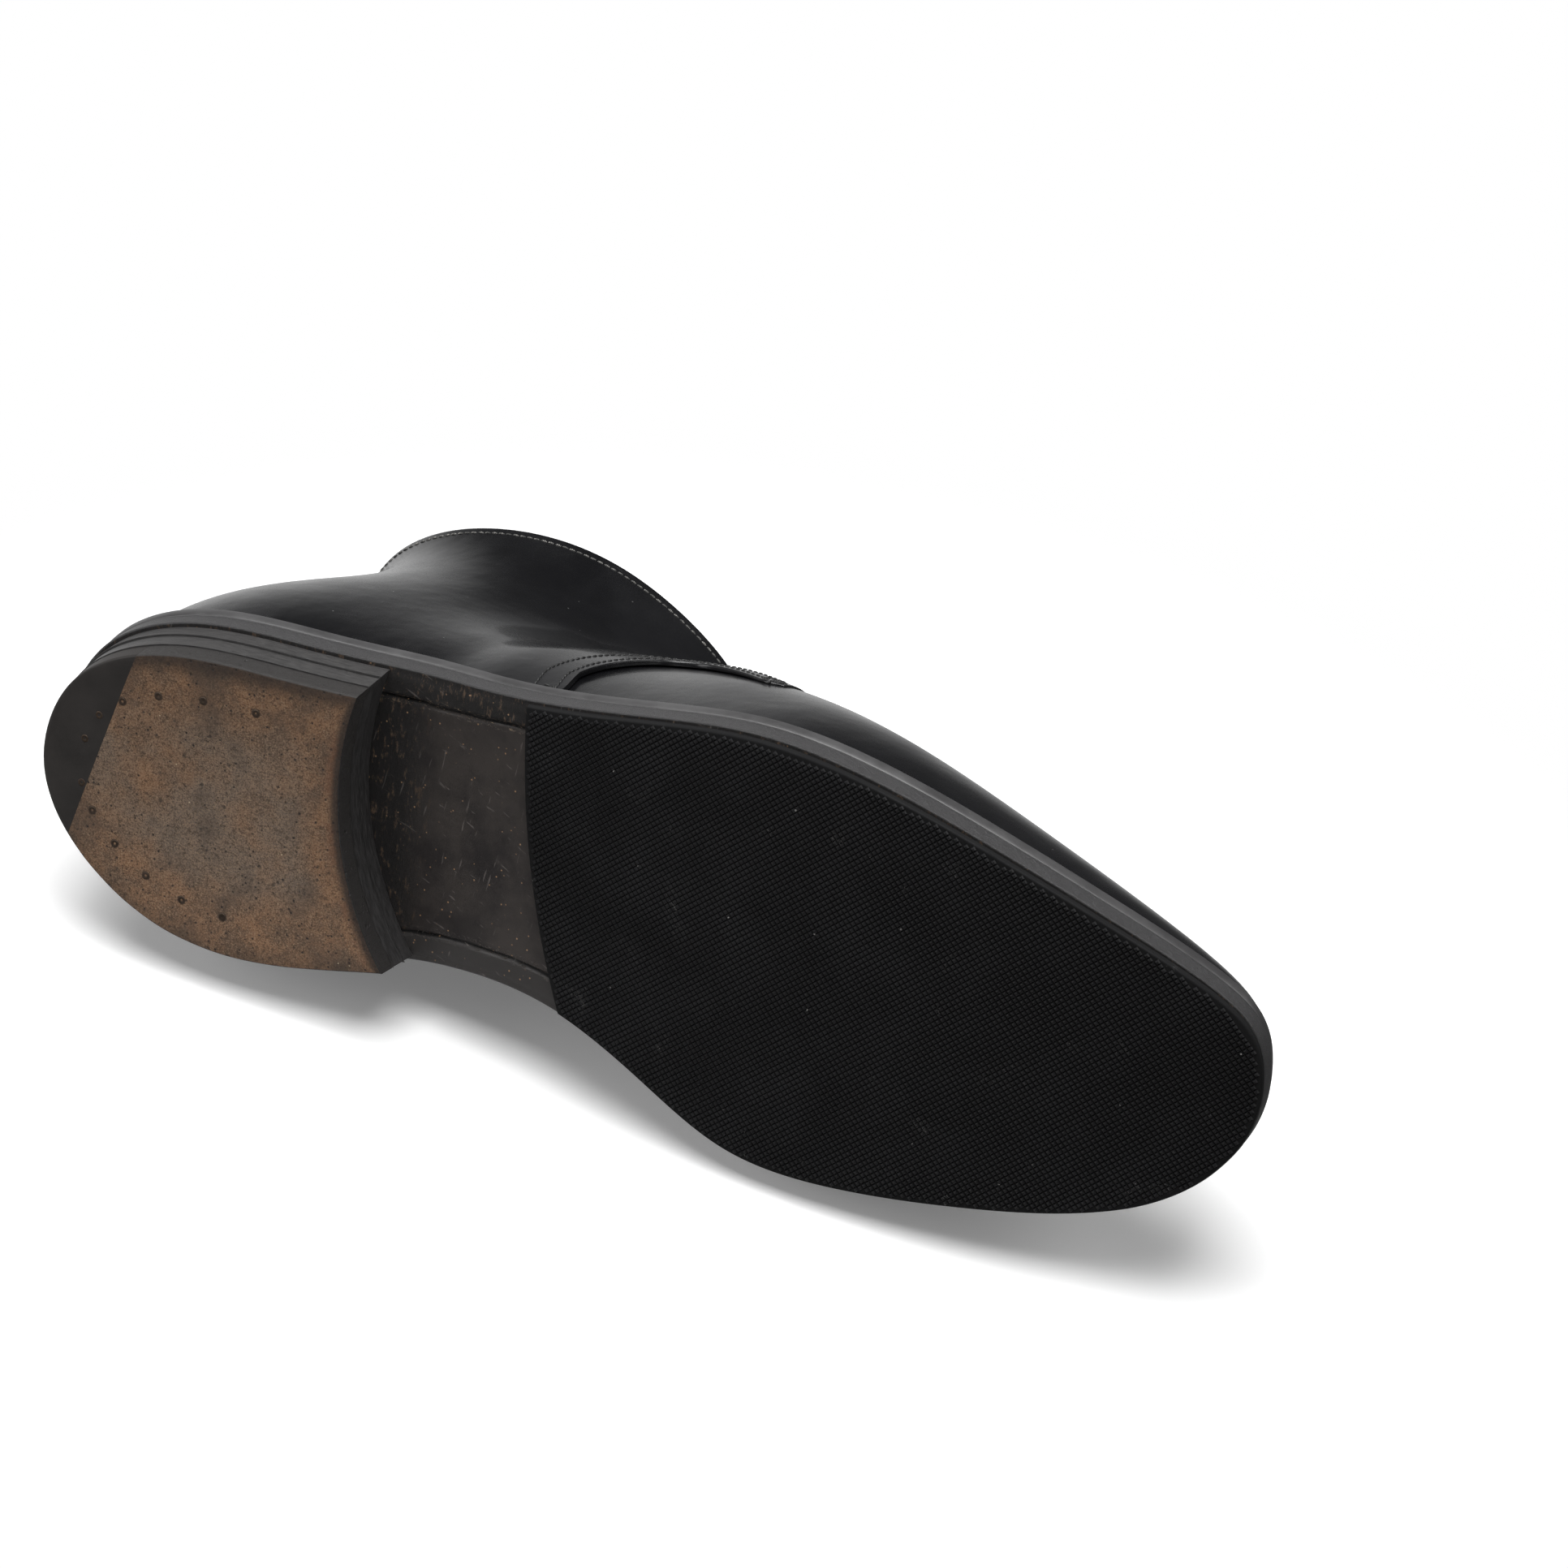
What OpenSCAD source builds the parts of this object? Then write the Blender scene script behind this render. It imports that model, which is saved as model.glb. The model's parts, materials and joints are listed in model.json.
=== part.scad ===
// Right-foot welted ankle boot, derby cut, with a rubber half-sole and a stacked heel.
// +X runs to the toe, +Y to the inner (medial) side, +Z up; the ground is z = 0.

/* [Sole] */
// Height of the heel under the outsole
heel_h = 16; // [14:0.5:18]
// Thickness of the leather outsole
outsole_t = 5; // [4:0.5:6]
// Thickness of the welt
welt_t = 3.5; // [2.5:0.5:4]
// Thickness of the rubber half-sole
half_sole_t = 2.2; // [1.5:0.1:3]
// Rise of the outsole at the toe
toe_spring = 11.4; // [8:0.2:14]
// Thickness of the insole
insole_t = 3; // [2:0.5:4]

/* [Heel] */
// Thickness of the heel's top piece, the layer that meets the ground
top_piece_t = 6; // [5:0.5:7]
// Radius of the hollow heel breast
breast_r = 79; // [60:1:120]
// Centre line distance from the heel's back to the nearest point of the breast
breast_x = 77.8; // [70:0.5:82]
// Radius of the half-sole's back edge
half_sole_r = 200; // [150:10:300]
// Nearest point of the half-sole's back edge
half_sole_x = 119.3; // [112:0.5:124]
// Radius of the top piece's nails
nail_r = 0.8; // [0.5:0.1:1]

/* [Upper] */
// Thickness of the upper leather
leather_t = 1.4; // [1:0.1:2]
// Thickness of the lining leather
lining_t = 1; // [0.8:0.1:1.4]
// Thickness of the heel counter and the toe puff
stiffener_t = 1.2; // [0.8:0.1:1.4]
// Thickness of the tongue
tongue_t = 2.2; // [1.8:0.1:2.6]
// How far the welt shows beyond the upper at the forefoot
welt_show = 5.2; // [4:0.2:6]
// How far the welt shows beyond the upper at the heel
welt_show_heel = 3.4; // [3:0.2:4]

/* [Eyelets] */
// Inner radius of an eyelet
eyelet_r = 1.7; // [1.4:0.1:2]
// Outer radius of an eyelet's flange
flange_r = 3.1; // [2.8:0.1:3.6]

/* [Hidden] */

// The welt's outline seen from above, from the heel's back round the outer side to the toe
// and back along the inner side. Point 0 is the heel's back and point 13 the toe.
welt_pts = [[-2, -3], [7, -27], [32, -39], [62, -40.3], [92, -41.8], [121, -45], [150, -50.8],
    [178, -55], [206, -51.5], [234, -43], [262, -32], [287, -20], [300.5, -7],
    [301.5, 12], [291, 29.5], [267, 41.5], [238, 47.5], [208, 51.3], [180, 50.5], [156, 39],
    [132, 30], [108, 29.5], [84, 34], [56, 39.3], [28, 35], [6, 18]];
// The upper's top edge, point for point above the outline: the collar, the front corner, the
// facing, and the crest of the vamp down to the toe cap's top.
crown = [272, 7, 45.5];
top_pts = [[20, 0, 121], [31, -24, 119.5], [59, -36.5, 118], [93, -35.5, 119], [124, -14, 122],
    [139, -8, 102], [157, -6, 89], [176, 1, 77], [199, 2, 67.5], [225, 4, 58.5],
    [251, 5.5, 51.5], crown, crown, crown, crown, crown, [251, 5.5, 51.5], [225, 4, 58.5],
    [199, 2, 67.5], [176, 1, 77], [157, 7, 89], [139, 9, 102], [124, 15, 122], [93, 35, 119],
    [59, 36, 118], [31, 23.5, 119.5]];
// A quarter's lower edge and, column for column, its top edge: place along the outline, counted
// from the toe, and height fraction. From place 8.15 on the lower edge is the seam on the vamp.
quarter_low = [[13, 0], [12.1, 0], [11.15, 0], [10.15, 0], [9.15, 0], [8.15, 0], [8.13, 0.12],
    [8.04, 0.22], [7.85, 0.33], [7.55, 0.375], [7.2, 0.36], [6.95, 0.34], [6.75, 0.325], [6.6, 0.35]];
quarter_top = [[13, 1], [12.15, 1], [11.3, 1], [10.5, 1], [9.7, 1], [8.95, 1], [8.7, 1],
    [8.4, 1], [8.15, 1], [7.8, 1], [7.45, 1], [7.15, 1], [6.85, 1], [6.6, 1]];
// Height fraction and place where the vamp ends under a quarter, and where the linings meet
vamp_end = [[0, 8.6], [0.2, 8.6], [0.36, 8.35], [0.5, 7.5], [0.62, 7], [1, 6.95]];
lining_split = [[0, 8.3], [0.45, 8], [0.7, 7], [1, 6.6]];
// Places of the eyelets along a facing, and their height fraction
eyelet_s = [7.3, 7.95, 8.6];
eyelet_t = 0.9;

// The box's bottom centre, which is the origin of the finished part
box_centre = [149, -1.5, 0];

pts_n = len(welt_pts);
half_n = pts_n / 2;
flat_end = 92;       // the seat is level from the heel's back to here
ball_x = 202;        // the sole touches the ground here
toe_x = 300;         // the toe spring is reached here
step = 0.01;         // step for the slopes of curves
feather_lift = welt_t + outsole_t + 0.9;  // the upper starts this far above the outsole's face
edge_steps = 78;     // points round an outline
wide = 140;          // wider than the shoe
tall = 80;           // taller than its bottom
below = -10;         // under the ground
round_fn = 180;      // facets of the large arcs

// ---------- curves ----------
function clamp(v, lo, hi) = min(max(v, lo), hi);
function smooth(v, lo, hi) = let (t = clamp((v - lo) / (hi - lo), 0, 1)) t * t * (3 - 2 * t);
function at(pts, i) = pts[(i % len(pts) + len(pts)) % len(pts)];
// Closed cubic B-spline with control points pts at parameter u
function spline(pts, u) = let (i = floor(u), f = u - i)
    ((1 - f) ^ 3 * at(pts, i - 1) + (3 * f ^ 3 - 6 * f ^ 2 + 4) * at(pts, i)
    + (-3 * f ^ 3 + 3 * f ^ 2 + 3 * f + 1) * at(pts, i + 1) + f ^ 3 * at(pts, i + 2)) / 6;
// Control points whose B-spline runs through pts
welt_knots = [for (i = [0 : pts_n - 1])
    at(welt_pts, i) + (2 * at(welt_pts, i) - at(welt_pts, i - 1) - at(welt_pts, i + 1)) / 6];
// Open Catmull-Rom curve through pts, v from 0 to 1
function path(pts, v) = let (n = len(pts) - 1, i = min(floor(v * n), n - 1), f = v * n - i,
        b = pts[i], c = pts[i + 1], a = i > 0 ? pts[i - 1] : 2 * b - c,
        d = i < n - 1 ? pts[i + 2] : 2 * c - b)
    (2 * b + (c - a) * f + (2 * a - 5 * b + 4 * c - d) * f ^ 2
    + (3 * b - 3 * c + d - a) * f ^ 3) / 2;

// Height of the outsole's underside at x: level seat, sloping waist, ball on the ground, spring
function soft_min(a, b, k) = let (h = max(k - abs(a - b), 0) / k) min(a, b) - h * h * k / 4;
function sole_z(x) = let (u = max(soft_min(max((ball_x - x) / (ball_x - flat_end), 0), 1, 0.1), 0),
        w = max((x - ball_x) / (toe_x - ball_x), 0))
    half_sole_t + (heel_h - half_sole_t) * u * u + toe_spring * w * w;
function sole_slope(x) = (sole_z(x + 0.5) - sole_z(x - 0.5));

// Outward direction of the outline at place s; s runs from -13 at the heel, outer side, by 0
// at the toe to 13 at the heel, inner side
function edge_out(s) = let (d = spline(welt_knots, half_n + s + step)
        - spline(welt_knots, half_n + s - step)) [d[1], -d[0]] / norm(d);
// Point of the outline, moved in by inset and lifted by dz square to the sole
function edge(s, inset, dz) = let (p = spline(welt_knots, half_n + s) - edge_out(s) * inset)
    [p[0] - sole_slope(p[0]) * dz, p[1]];
// Distance of place s from the toe, 0 to 13
function from_toe(s) = abs(s - pts_n * floor((s + half_n) / pts_n));

// ---------- the upper's outer surface ----------
// A cubic Bezier from the feather line up to the top edge. On the vamp the sides rise steeply
// and arch over the crest, tangent to the crest's line; on the shaft they bulge at the counter
// and draw in at the ankle.
function upper(s, t) = let (a = from_toe(s), w = smooth(a, 6.8, 10.2),
        inset = welt_show + (welt_show_heel - welt_show) * smooth(a, 7, 10),
        f = edge(s, inset, feather_lift), n = edge_out(s), out = [n[0], n[1], 0],
        low = [f[0], f[1], sole_z(f[0]) + feather_lift], top = spline(top_pts, half_n + s),
        h = top[2] - low[2], side = [low[0] - top[0], low[1] - top[1], 0],
        sc = clamp(a, 1.6, 4.6), crest = spline(top_pts, half_n + sc - step)
            - spline(top_pts, half_n + sc + step), run = [crest[0], crest[1], 0],
        lift = crest[2] * (side * run) / (run * run) * (1 - smooth(a, 4.6, 6.6)),
        p1 = low + (1 - w) * (out * 1.5 + [0, 0, 0.67 * h]) + w * (out * 5 + [0, 0, 0.42 * h]),
        p2 = top + (1 - w) * 0.62 * (side + [0, 0, lift]) - w * (out * 10 + [0, 0, 0.33 * h]))
    (1 - t) ^ 3 * low + 3 * (1 - t) ^ 2 * t * p1 + 3 * (1 - t) * t ^ 2 * p2 + t ^ 3 * top;
function upper_normal(s, t) = let (tc = clamp(t, 0.03, 0.97),
        n = cross(upper(s + step, tc) - upper(s - step, tc),
            upper(s, tc + step) - upper(s, tc - step))) n / norm(n);
// Point of the upper moved out along its normal
function layer(s, t, off) = upper(s, t) + upper_normal(s, t) * off;

// ---------- thick patches ----------
// Closed solid between two grids of points. weld[i] names the column that stands for column i
// on the last row, so that a patch can close over the crest.
module thick_patch(outer, inner, nu, nv, weld) {
    row = nv + 1;
    function out(i, j) = (j == nv ? weld[i] : i) * row + j;
    function inn(i, j) = out(i, j) + (nu + 1) * row;
    function shut(i) = weld[i] != i || weld[nu - i] != nu - i;
    skins = [for (i = [0 : nu - 1], j = [0 : nv - 1]) each
        [[out(i, j), out(i, j + 1), out(i + 1, j + 1)], [out(i, j), out(i + 1, j + 1), out(i + 1, j)],
        [inn(i, j), inn(i + 1, j), inn(i + 1, j + 1)], [inn(i, j), inn(i + 1, j + 1), inn(i, j + 1)]]];
    sills = [for (i = [0 : nu - 1]) each
        [[out(i, 0), out(i + 1, 0), inn(i + 1, 0)], [out(i, 0), inn(i + 1, 0), inn(i, 0)]]];
    heads = [for (i = [0 : nu - 1]) if (!(shut(i) && shut(i + 1))) each
        [[out(i + 1, nv), out(i, nv), inn(i, nv)], [out(i + 1, nv), inn(i, nv), inn(i + 1, nv)]]];
    ends = [for (j = [0 : nv - 1]) each
        [[out(0, j + 1), out(0, j), inn(0, j)], [out(0, j + 1), inn(0, j), inn(0, j + 1)],
        [out(nu, j), out(nu, j + 1), inn(nu, j + 1)], [out(nu, j), inn(nu, j + 1), inn(nu, j)]]];
    faces = [for (f = concat(skins, sills, heads, ends))
        if (f[0] != f[1] && f[1] != f[2] && f[2] != f[0]) f];
    polyhedron(concat(outer, inner), faces);
}

// Patch of the upper between two depths. place(a, c) gives place and height fraction for a and
// c from 0 to 1, lo and hi give the depth there, and places within closed of the toe meet
// their mirror image at the crest.
module upper_patch(place, lo, hi, nu, nv, closed = 0) {
    spots = [for (i = [0 : nu], j = [0 : nv]) place(i / nu, j / nv)];
    ends = [for (i = [0 : nu]) abs(place(i / nu, 1)[0])];
    weld = [for (i = [0 : nu]) ends[i] > closed ? i : ends[i] > 1 ? min(i, nu - i) : nu / 2];
    thick_patch([for (q = spots) layer(q[0], q[1], hi(q))],
        [for (q = spots) layer(q[0], q[1], lo(q))], nu, nv, weld);
}
function mix(a, b, v) = a * (1 - v) + b * v;

// ---------- the upper's parts ----------
gap = 0.3;           // air between two layers of the upper
under = leather_t + gap;                       // depth under the upper leather
stiff = stiffener_t + gap;                     // extra depth under a stiffener
counter_s = 9.2;     // the counter ends here, counted from the toe
counter_t = 5 / 12;  // height fraction of the counter's top
puff_s = 2.6;        // the toe puff ends here
puff_t = 0.75;
rows = 12;           // rows of facets from feather line to top edge
quarter_cols = 4 * (len(quarter_low) - 1);
lining_cols = 22;
// How far a quarter is lifted where it lies on the vamp
function lap_rise(q) = under * (1 - smooth(from_toe(q[0]) - lookup(q[1], vamp_end), 0.05, 0.4));
// Depth of the lining's outer face: deeper behind the counter and the toe puff
function lining_depth(q) = let (a = from_toe(q[0]))
    under + stiff * max(smooth(a, counter_s - 0.9, counter_s - 0.3)
        * (1 - smooth(q[1], counter_t + 0.03, counter_t + 0.13)), 1 - smooth(a, puff_s + 0.2, puff_s + 0.8));

module vamp()
    color("#2a2a2d") upper_patch(function (a, c) [(2 * a - 1) * lookup(c, vamp_end), c],
        function (q) -leather_t, function (q) 0, 64, rows, 5);

// side is -1 for the outer quarter and 1 for the inner one
function quarter_spot(side, a, c) = let (q = mix(path(quarter_low, a), path(quarter_top, a), c))
    [side * q[0], q[1]];
module quarter(side)
    color("#1c1c1f") difference() {
        upper_patch(function (a, c) quarter_spot(side, side > 0 ? 1 - a : a, c),
            function (q) lap_rise(q) - leather_t, function (q) lap_rise(q), quarter_cols, rows);
        for (s = eyelet_s) eyelet_place(side, s) cylinder(r = barrel_r, h = punch, center = true);
    }
module quarter_lining(side)
    color("#3a3532") difference() {
        upper_patch(function (a, c) let (b = side > 0 ? 1 - a : a)
            [side * mix(13, lookup(c, lining_split) + 0.04, b), c],
            function (q) -lining_depth(q) - lining_t, function (q) -lining_depth(q), lining_cols, rows);
        for (s = eyelet_s) eyelet_place(side, s) cylinder(r = barrel_r, h = punch, center = true);
    }
module vamp_lining()
    color("#3a3532") upper_patch(function (a, c) [(2 * a - 1) * (lookup(c, lining_split) - 0.04), c],
        function (q) -lining_depth(q) - lining_t, function (q) -lining_depth(q), 48, rows, 5);
module heel_counter()
    color("#a58a63") upper_patch(function (a, c) [13 + (2 * a - 1) * (13 - counter_s), c * counter_t],
        function (q) -under - stiffener_t, function (q) -under, 36, rows * counter_t);
module toe_puff()
    color("#a58a63") upper_patch(function (a, c) [(2 * a - 1) * puff_s, puff_t * c],
        function (q) -under - stiffener_t, function (q) -under, 24, rows * puff_t);
// Narrow strip over the back seam
module backstay()
    color("#1c1c1f") upper_patch(function (a, c) [13 + (2 * a - 1) * mix(0.32, 0.24, c), c],
        function (q) gap, function (q) gap + 0.9, 4, 14);

// ---------- eyelets ----------
barrel_r = eyelet_r + 0.4;
punch = 12;          // long enough to go through facing and lining
flange_t = 0.5;
module eyelet_place(side, s) {
    p = layer(side * s, eyelet_t, 0);
    n = upper_normal(side * s, eyelet_t);
    translate(p) rotate([0, acos(n[2]), atan2(n[1], n[0])]) children();
}
// Blind eyelet: a barrel through facing and lining with its flange on the inside
module eyelets(side)
    color("#2b2b2e") for (s = eyelet_s) eyelet_place(side, s)
        translate([0, 0, -eyelet_depth]) rotate_extrude($fn = 32)
            polygon([[eyelet_r, 0], [flange_r, 0], [flange_r, flange_t], [barrel_r, flange_t],
                [barrel_r, eyelet_depth - 0.3], [eyelet_r, eyelet_depth - 0.3]]);
eyelet_depth = under + lining_t + gap + flange_t;

// ---------- tongue ----------
tongue_s = [6.35, 9.2];      // from the throat to the collar
tongue_wing = 0.74;          // height fraction of the side edges
tongue_off = -eyelet_depth - 0.7;  // clear of the eyelets' flanges
bridge = 0.4;                // share of the width that bridges the facings' gap
function tongue_edge(side, s, off) = layer(side * s, 0.96, off);
function tongue_point(s, v, off) = abs(v) > bridge
    ? layer(sign(v) * s, mix(0.96, tongue_wing, (abs(v) - bridge) / (1 - bridge)), off)
    : let (a = tongue_edge(-1, s, off), b = tongue_edge(1, s, off), f = (v / bridge + 1) / 2,
        up = upper_normal(-s, 0.96) + upper_normal(s, 0.96),
        m = (a + b) / 2 + up / norm(up) * norm(b - a) * 0.3)
    (1 - f) ^ 2 * a + 2 * f * (1 - f) * m + f ^ 2 * b;
module tongue() {
    nu = 20;
    nv = 14;
    grid = [for (i = [0 : nu], j = [0 : nv]) [mix(tongue_s[0], tongue_s[1], j / nv), 2 * i / nu - 1]];
    color("#242426") thick_patch([for (q = grid) tongue_point(q[0], q[1], tongue_off)],
        [for (q = grid) tongue_point(q[0], q[1], tongue_off - tongue_t)], nu, nv,
        [for (i = [0 : nu]) i]);
}

// ---------- the sole ----------
layer_x = 8;         // spacing of the profile's points
// Solid between two heights above the outsole's underside, as wide as the shoe
module band(lo, hi) {
    xs = [for (i = [-27 : 14]) ball_x + i * layer_x];
    rotate([90, 0, 0]) linear_extrude(wide, center = true)
        polygon(concat([for (x = xs) [x, sole_z(x) + lo]],
            [for (i = [len(xs) - 1 : -1 : 0]) [xs[i], sole_z(xs[i]) + hi]]));
}
// The outline moved in by inset, for a layer dz above the outsole's underside
module outline(inset, dz)
    polygon([for (i = [0 : edge_steps - 1]) edge(pts_n * i / edge_steps - half_n,
        inset + tuck * (1 - smooth(from_toe(pts_n * i / edge_steps - half_n), 0.5, 1.8)), dz)]);
tuck = 1.8;          // the toe's edge is drawn in a little
module sole_layer(lo, hi, inset) intersection() {
    band(lo, hi);
    translate([0, 0, below]) linear_extrude(tall) outline(inset, (lo + hi) / 2);
}
half_sole_y = -48;   // the half-sole's back arc is centred here across the shoe
rib_in = 12.5;       // the welt's inner edge and the rib's outer edge
insole_in = 10.2;    // the insole's edge
rib_t = 2;
deck = outsole_t + welt_t;

module outsole() color("#4f4947") difference() {
    sole_layer(0, outsole_t, 0.5);
    nails(seat_nails, nail_r, seat_lo, heel_top);
}
module half_sole() color("#141416") intersection() {
    sole_layer(-half_sole_t, 0, 1.5);
    translate([half_sole_x + half_sole_r, half_sole_y, below])
        cylinder(r = half_sole_r, h = tall, $fn = round_fn);
}
module ring(lo, hi, outer, inner) intersection() {
    band(lo, hi);
    translate([0, 0, below]) linear_extrude(tall) difference() {
        outline(outer, (lo + hi) / 2);
        outline(inner, (lo + hi) / 2);
    }
}
module welt() color("#525154") ring(outsole_t, deck, 0, rib_in);
module insole_rib() color("#8a6a4a") ring(outsole_t, deck, rib_in, rib_in + rib_t);
module cork_filler() color("#8c6239") difference() {
    sole_layer(outsole_t, deck, rib_in + rib_t);
    shank_bed();
    nails(seat_nails, nail_r, seat_lo, heel_top);
}
shank_x = 42;        // the shank's back end
shank_l = 98;
shank_w = 13;
shank_t = 1.2;
module shank_bed() translate([shank_x, -shank_w / 2, 0]) cube([shank_l, shank_w, tall]);
module shank() color("#9a9a9c") intersection() {
    band(outsole_t, outsole_t + shank_t);
    shank_bed();
}
module insole() color("#b08a5c") sole_layer(deck, deck + insole_t, insole_in);
module sock_liner() color("#2b2826") sole_layer(deck + insole_t, deck + insole_t + 1, insole_in);

// ---------- the heel ----------
lift_t = (heel_h - top_piece_t) / 2;
heel_top = heel_h + outsole_t + welt_t;
breast_y = -16;      // the breast's arc is centred here across the shoe
heel_end = 100;      // in front of the heel
tip_a = [24.5, -34.4];  // two points of the rubber tip's straight front edge
tip_b = [8.4, 17.1];
nail_top = top_piece_t + lift_t - 1;
module heel_layer(lo, hi, inset) difference() {
    translate([0, 0, lo]) linear_extrude(hi - lo) difference() {
        outline(inset, 0);
        translate([heel_end, -wide / 2]) square([toe_x, wide]);
    }
    translate([breast_x + breast_r, breast_y, below])
        cylinder(r = breast_r, h = tall, $fn = round_fn);
}
// Everything behind the rubber tip's front edge
module tip_side() {
    along = (tip_b - tip_a) / norm(tip_b - tip_a);
    back = [-along[1], along[0]];
    reach = along * tall;
    translate([0, 0, below]) linear_extrude(tall) polygon([tip_a - reach, tip_b + reach,
        tip_b + reach + back * tall, tip_a - reach + back * tall]);
}
// A row of nails along the heel's edge, inset from it
function nail_row(inset, first, last, n) = [for (side = [-1, 1], i = [0 : n - 1])
    edge(side * mix(first, last, i / (n - 1)), inset, 0)];
module nails(spots, r, lo, hi)
    for (p = spots) translate([p[0], p[1], lo]) cylinder(r = r, h = hi - lo, $fn = 16);
top_nails = nail_row(13, 10.2, 12.6, 6);
seat_nails = nail_row(17, 10.3, 12.2, 4);
seat_lo = top_piece_t + 2;

module top_piece() color("#5c4a39") difference() {
    heel_layer(0, top_piece_t, 3);
    tip_side();
    nails(top_nails, nail_r, -1, nail_top);
}
module rubber_tip() color("#2b2726") difference() {
    intersection() {
        heel_layer(0, top_piece_t, 3);
        tip_side();
    }
    nails(top_nails, nail_r, -1, nail_top);
}
module heel_lift_lower() color("#60605f") difference() {
    heel_layer(top_piece_t, top_piece_t + lift_t, 2.3);
    nails(top_nails, nail_r, -1, nail_top);
    nails(seat_nails, nail_r, seat_lo, heel_top);
}
module heel_lift_upper() color("#60605f") difference() {
    intersection() {
        heel_layer(top_piece_t + lift_t, heel_h, 1.6);
        band(-heel_h, 0);
    }
    nails(seat_nails, nail_r, seat_lo, heel_top);
}
module top_piece_nails() color("#77716a") nails(top_nails, nail_r, 0, nail_top);
module heel_nails() color("#a8a8a8") nails(seat_nails, nail_r, seat_lo, heel_top);

module placed() translate(-box_centre) children();

placed() vamp();
placed() quarter(-1);  // quarter_lateral
placed() quarter(1);  // quarter_medial
placed() backstay();
placed() tongue();
placed() vamp_lining();
placed() quarter_lining(-1);  // quarter_lining_lateral
placed() quarter_lining(1);  // quarter_lining_medial
placed() heel_counter();
placed() toe_puff();
placed() eyelets(-1);  // eyelets_lateral
placed() eyelets(1);  // eyelets_medial
placed() sock_liner();
placed() insole();
placed() insole_rib();
placed() cork_filler();
placed() shank();
placed() welt();
placed() outsole();
placed() half_sole();
placed() heel_lift_upper();
placed() heel_lift_lower();
placed() top_piece();
placed() rubber_tip();
placed() top_piece_nails();
placed() heel_nails();
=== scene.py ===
"""A black welted ankle boot for the right foot, lying on its inner side with the sole showing.

Shapes are worked out in millimetres in the shoemaker's frame: x from the heel's back to the toe,
y to the inner side of the foot, z up from the ground. BOX_CENTRE is the frame's origin there.
"""

import json
import bmesh
import bpy
import numpy as np
from mathutils import Matrix, Vector


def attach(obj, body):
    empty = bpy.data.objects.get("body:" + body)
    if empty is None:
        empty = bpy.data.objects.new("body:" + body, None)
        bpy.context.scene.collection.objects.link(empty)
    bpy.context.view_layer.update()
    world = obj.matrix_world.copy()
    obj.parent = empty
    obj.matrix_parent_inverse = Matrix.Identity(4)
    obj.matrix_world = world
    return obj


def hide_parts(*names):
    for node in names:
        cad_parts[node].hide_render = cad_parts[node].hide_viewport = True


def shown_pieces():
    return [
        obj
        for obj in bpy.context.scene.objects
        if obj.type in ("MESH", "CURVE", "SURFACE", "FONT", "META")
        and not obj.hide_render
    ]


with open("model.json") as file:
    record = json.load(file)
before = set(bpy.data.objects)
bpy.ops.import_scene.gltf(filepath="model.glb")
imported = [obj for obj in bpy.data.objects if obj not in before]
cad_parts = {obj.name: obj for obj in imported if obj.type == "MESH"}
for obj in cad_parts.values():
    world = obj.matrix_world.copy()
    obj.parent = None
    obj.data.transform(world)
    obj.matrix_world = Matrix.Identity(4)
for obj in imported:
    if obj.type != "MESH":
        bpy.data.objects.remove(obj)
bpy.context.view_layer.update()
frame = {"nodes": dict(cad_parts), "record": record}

MM = 0.001
BOX_CENTRE = np.array([149.0, -1.5, 0.0])

# ------------------------------------------------------------------ camera
CAMERA_AT = (0.4029, -0.5312, -0.9813)     # metres, below and in front of the outer side
LOOK = Vector((-0.3170, 0.4218, 0.8495))
UP = Vector((-0.2483, -0.9013, 0.3549))
SENSOR = 36.0
FOCAL_SHARE = 6500 / 1932                  # focal length over the frame's width


def add(name, data):
    """A new object in the scene, at the origin."""
    obj = bpy.data.objects.new(name, data)
    bpy.context.scene.collection.objects.link(obj)
    return obj


def make_camera():
    """The camera lies on CAMERA_AT and looks along LOOK, rolled so that UP is up in the picture."""
    data = bpy.data.cameras.new("camera")
    data.sensor_width = SENSOR
    data.lens = SENSOR * FOCAL_SHARE
    data.clip_start, data.clip_end = 0.05, 50
    cam = add("camera", data)
    back = -LOOK.normalized()
    side = UP.cross(back).normalized()
    up = back.cross(side)
    cam.matrix_world = Matrix.LocRotScale(
        Vector(CAMERA_AT), Matrix((side, up, back)).transposed(), None)
    bpy.context.scene.camera = cam


make_camera()

# ------------------------------------------------------------------ the boot's master shape
HEEL_H, OUTSOLE_T, WELT_T, HALF_SOLE_T = 16.0, 5.0, 3.5, 2.2
TOE_SPRING, FLAT_END, BALL_X, TOE_X = 11.4, 92.0, 202.0, 300.0
DECK = OUTSOLE_T + WELT_T                   # the welt's top above the outsole's underside
FEATHER = DECK + 0.1                        # where the upper starts
LEATHER_T, LINING_T = 1.4, 1.0
LAP = 1.7                                   # how far a quarter is lifted on the vamp
WELT_SHOW, WELT_SHOW_HEEL = 5.2, 3.4
TUCK = 1.8                                  # the toe's edge is drawn in a little

# The welt's outline, point 0 at the heel's back, then round the outer side to the toe at 13.
WELT = np.array([
    (-2, -3), (7, -27), (32, -39), (62, -40.3), (92, -41.8), (121, -45), (150, -50.8),
    (178, -55), (206, -51.5), (234, -43), (262, -32), (287, -20), (300.5, -7),
    (301.5, 12), (291, 29.5), (267, 41.5), (238, 47.5), (208, 51.3), (180, 50.5), (156, 39),
    (132, 30), (108, 29.5), (84, 34), (56, 39.3), (28, 35), (6, 18)])
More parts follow.
